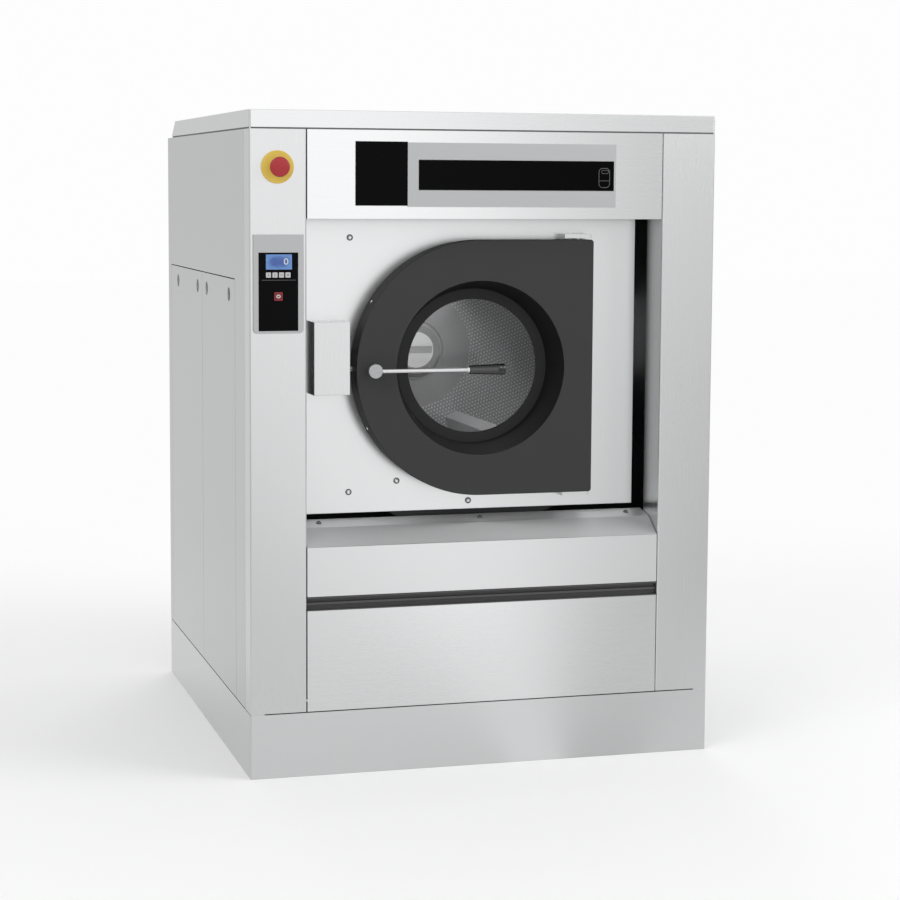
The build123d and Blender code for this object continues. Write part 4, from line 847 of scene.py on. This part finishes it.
# %% Grip and collar
grip_low, grip_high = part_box("handle_grip")
_, grip_y, grip_z = middle(grip_low, grip_high)
grip_foot, grip_way = (grip_low.x, grip_y, grip_z), (1, 0, 0)
grip_length, grip_end = grip_high.x - grip_low.x, (grip_high.z - grip_low.z) / 2
grip_start = grip_end - 3.5 * MM
groove = grip_end - 1.4 * MM
grip_profile = [(6.6 * MM, 0.0), (10.6 * MM, 0.0), (11.8 * MM, 0.4 * MM), (12.6 * MM, 1.4 * MM)]
taper = np.linspace(0.02, 0.86, 10)
grip_profile += [(grip_start * 0.97 + (grip_end - grip_start) * s, grip_length * s) for s in taper]
tip = [(groove, 0.875), (groove, 0.895), (grip_end - 0.2 * MM, 0.91), (grip_end, 0.95),
       (grip_end * 0.93, 0.985), (grip_end * 0.80, 1), (0, 1)]
grip_profile += [(r, grip_length * share) for r, share in tip]
grip_shape = turned(grip_profile, grip_foot, grip_way, sides=56)
grip = piece("lever_grip", grip_shape, "lever", grip_black)
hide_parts("handle_grip")
collar = [(6.55, -5.0), (8.6, -5.0), (9.2, -4.4), (9.2, 0.0), (6.55, 0.0), (6.55, -5.0)]
collar_shape = turned([(r * MM, d * MM) for r, d in collar], grip_foot, grip_way)
piece("grip_collar", collar_shape, "lever", bright_steel)

# %% [markdown]
# ## The seam under the lid
# A thin dark strip lies in the gap between the casing and its lid, set back a little from the faces:
# painted shadow of that gap. It shows as one fine line all the way round. It is a small section
# carried round a rectangle.

# %% Lid gap shadow
lid_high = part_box("top_lid")[1]
strip_bottom = post_high.z
strip_x, strip_y0, strip_y1 = lid_high.x - 3 * MM, front + 3 * MM, front + 1350 * MM
outline = rounded_outline(0, (strip_y0 + strip_y1) / 2, 2 * strip_x, strip_y1 - strip_y0, 4 * MM)
outline = np.column_stack([outline, np.full(len(outline), strip_bottom)])
strip_half, strip_foot, strip_head = 1.5 * MM, 0.1 * MM, 4.4 * MM
strip_section = [(-strip_half, strip_foot), (-strip_half, strip_head), (strip_half, strip_head),
                (strip_half, strip_foot)]
# The strip's dark grey is painted shadow of the gap under the lid.
lid_gap_shade = coated("lid_gap_shade", (0.11, 0.11, 0.112, 1), 0.6, texture=900)
piece("lid_gap_shade_strip", carried(outline, strip_section, UPWARD), "cabinet", lid_gap_shade)

# %% [markdown]
# ## Coil springs
# Four coil springs stand between the floor frame and the tub. Each is a round wire carried along a
# helix, and all four are one mesh that rides on no body.

# %% Coil springs
coil_low, coil_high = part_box("suspension_springs")
wire, coil_radius, turns, steps, wire_sides = 7 * MM, 42 * MM, 7, 24, 12
strut_x = coil_high.x - coil_radius - wire
strut_ys = (coil_low.y + coil_radius + wire, coil_high.y - coil_radius - wire)
turn_of = np.linspace(0, turns, turns * steps + 1)
angle = turn_of * 2 * np.pi
height = coil_low.z + wire + (coil_high.z - coil_low.z - 2 * wire) * turn_of / turns
section = np.linspace(0, 2 * np.pi, wire_sides, endpoint=False)
radial = np.stack([np.cos(angle), np.sin(angle), np.zeros_like(angle)], axis=-1)
round_wire = wire * (np.cos(section)[None, :, None] * radial[:, None]
                     + np.sin(section)[None, :, None] * np.array(UPWARD, float))
last_ring = (len(angle) - 1) * wire_sides
coil_ends = [list(range(wire_sides)), list(range(last_ring, last_ring + wire_sides))]
coil_faces = [*grid_faces(len(angle), wire_sides).tolist(), *coil_ends]
coils = []
for x in (-strut_x, strut_x):
    for y in strut_ys:
        axis_points = np.stack([np.full_like(angle, x), np.full_like(angle, y), height], axis=-1)
        tube = (radial * coil_radius + axis_points)[:, None] + round_wire
        coils.append((tube.reshape(-1, 3), coil_faces))
spring_coils = piece("spring_coils", together(*coils), None, bright_steel)
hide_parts("suspension_springs")
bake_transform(spring_coils)

# %% [markdown]
# ## The rear
# The rear panel is cut with rows of louvres. Each slot has a pressed hood that sheds water: half an
# arch that stands out above the slot and dies away at its ends. Its height is a product of two soft
# curves, one along the slot and one across it.

# %% Louvre hoods
louvre_length, louvre_pitch, column_pitch = 0.150, 0.028, 0.200
louvre_mid_z, hood_height, hood_rise = 1.130, 0.016, 0.008
hood_sunk, hood_wall, hood_lift, long_steps, high_steps = 0.0004, 0.0008, 0.002, 13, 6
lengths, heights = np.linspace(-1, 1, long_steps), np.linspace(0, 1, high_steps)
along, across = np.meshgrid(lengths, heights, indexing="ij")
bulge = (1 - along ** 4) * np.sin(across * np.pi / 2)
outer = np.stack([along * louvre_length / 2, rear_high.y - hood_sunk + hood_rise * bulge,
                  (1 - across) * hood_height], axis=-1)
inner = outer - np.array([0, hood_wall, 0]) * (0.2 + bulge[..., None])
hood_points = np.concatenate([outer.reshape(-1, 3), inner.reshape(-1, 3)])

# The two sheets are joined by a rim that follows the numbers of the border's points once round.
count = long_steps * high_steps
numbers = np.arange(count).reshape(long_steps, high_steps)
border = np.concatenate([numbers[:, 0], numbers[-1, 1:], numbers[-2::-1, -1], numbers[0, -2:0:-1]])
onward = np.roll(border, -1)
sheet_faces = grid_faces(long_steps, high_steps, loop_columns=False)
rim_faces = np.stack([border, onward, onward + count, border + count], axis=-1)
hood_faces = np.concatenate([sheet_faces, sheet_faces[:, ::-1] + count, rim_faces])
hoods = []
for column in range(5):
    for row in range(9):
        hood_z = louvre_mid_z + louvre_pitch * (row - 4) + hood_lift
        shift = np.array([column_pitch * (column - 2), 0, hood_z])
        hoods.append((hood_points + shift, hood_faces))
piece("louvre_hoods", together(*hoods), "cabinet", galvanised)

# %% Screws along the rear panel
edge_x = rear_high.x - 18 * MM
rear_places = [(side * edge_x, rear_high.y, z) for side in (-1, 1) for z in np.linspace(0.24, 1.74, 6)]
rear_heads = [screw(place, REARWARD, 6 * MM, 3.5 * MM) for place in rear_places]
piece("rear_screws", together(*rear_heads), "cabinet", bright_steel)

# %% Threads on the water inlets
inlet_z = rear_high.z - 238 * MM
pipe_radius, valley_radius, ridge_height, ridges = 16.5 * MM, 16.65 * MM, 0.75 * MM, 11
thread_start, thread_length = rear_high.y + 8 * MM, 30 * MM
share = np.linspace(0, 1, 45)
reach = valley_radius + ridge_height * np.abs((share * ridges) % 1 - 0.5) * 2
depth = thread_start + share * thread_length
rows = [(pipe_radius, depth[0]), *zip(reach, depth), (pipe_radius, depth[-1])]
thread = [turned(rows, (x, 0, inlet_z), REARWARD, sides=40) for x in (-0.420, -0.310, -0.200)]
piece("inlet_threads", together(*thread), "cabinet", brass)

# %% [markdown]
# ## The studio
# The photograph was taken against white, under soft light. The floor is a wide pale plane. Its
# colour fades to pure white away from the machine, so that no horizon shows, while the shadow under
# the machine stays. What steel mirrors of the floor is as grey as the room around it, or the plinth
# would be pure white too. Walls of the room are told apart by their bearing: how far a direction is
# turned to the right of straight ahead.

# %% Bearings
dull_wall = 25


def bearing(x, y, degrees):
    """Cosine of the angle between the level direction (x, y) and a wall at a bearing in degrees."""
    side, ahead = math.sin(math.radians(degrees)), math.cos(math.radians(degrees))
    return (x * side - y * ahead) / (x * x + y * y).call("SQRT")


# %% Floor
floor_reach, floor_level, pale_floor = 30.0, -0.0006, 12.5
signs = ((-1, -1), (1, -1), (1, 1), (-1, 1))
corners = [(x * floor_reach, y * floor_reach, floor_level) for x, y in signs]
floor_mesh = bpy.data.meshes.new("floor")
floor_mesh.from_pydata(corners, [], [(0, 1, 2, 3)])
floor = bpy.data.objects.new("floor", floor_mesh)
bpy.context.scene.collection.objects.link(floor)

ground = new_tree("floor_white")
floor_x, floor_y, _ = ground.split(ground.coordinates())
floor_way = (floor_x * floor_x + floor_y * floor_y).call("SQRT")
far = floor_way.ramp(1.6, 4.5)
floor_toward = bearing(floor_x, floor_y, pale_floor).ramp(0.9875, 0.9995)
floor_dull = bearing(floor_x, floor_y, dull_wall).ramp(0.984, 0.998)
floor_behind = (floor_y / floor_way).ramp(0.0, 0.8)
spread = 0.35 + 0.65 * far
room_floor = 0.64 + 0.80 * spread * floor_toward - 0.20 * floor_dull + 0.16 * floor_behind

seen, mirrored = ground.rays("Camera"), ground.rays("Glossy")
white = (seen + mirrored + ground.rays("Transmission")).call("MINIMUM", 1.0)
strength = seen + (1 - seen) * room_floor
glow_share = white * far + mirrored * 0.6 * (1 - far)
matt = ground.node("ShaderNodeBsdfDiffuse", values={"Color": (0.90, 0.90, 0.90, 1)})
near_white = (0.98, 0.98, 0.98, 1)
glowing = ground.node("ShaderNodeEmission", values={"Color": near_white, "Strength": strength})
blend_floor = ground.node("ShaderNodeMixShader", values={0: glow_share, 1: matt, 2: glowing})
ground.node("ShaderNodeOutputMaterial", values={"Surface": blend_floor})
floor_mesh.materials.append(ground.owner)
print("floor", 2 * floor_reach, "m wide")

# %% [markdown]
# ## Light
# The world is a soft white room. What the camera sees directly is plain white, and matt paint is
# lit by an even grey. What the steel reflects is a greyer room with a bright upright strip in front
# of the machine, a little to its right, which draws the bright patch on the header. A duller strip
# stands beside it, and the front of the room gets paler upwards.

# %% World
bright_wall, matt_level = 11.5, 0.78
world = bpy.data.worlds.new("studio")
bpy.context.scene.world = world
sky = Tree(world)
way_x, way_y, way_z = sky.split(sky.node("ShaderNodeTexCoord", output="Generated"))
lobe = bearing(way_x, way_y, bright_wall).ramp(0.986, 0.9994)
dull = bearing(way_x, way_y, dull_wall).ramp(0.980, 0.997)
ahead = (way_y * -1).ramp(0.2, 0.9)
above = way_z.ramp(0.03, 0.35)
behind = way_y.ramp(0.0, 0.8)
room = 0.68 + 1.05 * lobe * (1 - 0.4 * above) - 0.22 * dull + 0.30 * ahead * above + 0.06 * behind
sky_mirrored = sky.rays("Glossy")
direct = (sky.rays("Camera") + sky.rays("Transmission")).call("MINIMUM", 1.0)
indirect = sky_mirrored * room + (1 - sky_mirrored) * matt_level
sky_level = direct + (1 - direct) * indirect
sky_colour = (0.985, 0.985, 0.985, 1)
backdrop = sky.node("ShaderNodeBackground", values={"Color": sky_colour, "Strength": sky_level})
sky.node("ShaderNodeOutputWorld", values={"Surface": backdrop})
print("bright wall", bright_wall, "degrees to the right")


# %% Lamps
def lamp(name, place, target, size, power):
    """A square soft lamp at a place, turned towards a target. size is in metres, power in watts."""
    light = bpy.data.lights.new(name, "AREA")
    light.shape, light.size, light.energy = "SQUARE", size, power
    thing = bpy.data.objects.new(name, light)
    bpy.context.scene.collection.objects.link(thing)
    side, up, back = axes_of(np.array(place) - np.array(target))
    matrix = np.eye(4)
    matrix[:3, 0], matrix[:3, 1], matrix[:3, 2], matrix[:3, 3] = side, up, back, place
    thing.matrix_world = Matrix(matrix.tolist())
    print(name, power, "W")
    return thing


lamp("top_left_softbox", (-3.2, -3.6, 4.2), (0, -0.4, 1.0), 3.2, 65)
lamp("right_softbox", (3.6, -3.0, 3.6), (0, -0.4, 1.0), 3.2, 80)
# The lid would mirror this lamp as a white patch, so it only lights what is matt.
lamp("rear_fill", (0.5, 4.2, 3.8), (0, 0.4, 1.0), 3.2, 60).visible_glossy = False
lamp("drum_lamp", (0.05, -0.42, drum_z + 0.33), (0, 0.06, drum_z - 0.1), 0.16, 3.2)

# %% [markdown]
# ## Camera
# The photograph's viewpoint was found from the corners of the casing: a long lens, to the left of
# the machine and 1.65 m above the floor, turned to the right and slightly down. A small downward
# shift of the lens keeps the uprights closer to parallel. The three directions of the view come
# from its turn, tilt and roll.

# %% Camera
camera_place = (-1.8020, -6.6681, 1.6488)
yaw, pitch, roll = (math.radians(degrees) for degrees in (15.91, 5.675, 0.333))
level_ahead = np.array([math.sin(yaw), math.cos(yaw), 0])
view_side = np.array([math.cos(yaw), -math.sin(yaw), 0])
view_down = -math.sin(pitch) * level_ahead - math.cos(pitch) * np.array(UPWARD)
view_ahead = math.cos(pitch) * level_ahead - math.sin(pitch) * np.array(UPWARD)
right = math.cos(roll) * view_side - math.sin(roll) * view_down
down = math.sin(roll) * view_side + math.cos(roll) * view_down
seat = np.eye(4)
seat[:3, 0], seat[:3, 1], seat[:3, 2], seat[:3, 3] = right, -down, -view_ahead, camera_place
eye = bpy.data.cameras.new("camera")
eye.lens, eye.sensor_width, eye.shift_y = 88.55, 36.0, -0.05
camera = bpy.data.objects.new("camera", eye)
camera.matrix_world = Matrix(seat.tolist())
bpy.context.scene.collection.objects.link(camera)
bpy.context.scene.camera = camera
bpy.context.scene.view_settings.view_transform = "Standard"
print("camera at", camera_place, "lens", round(eye.lens, 2), "mm")
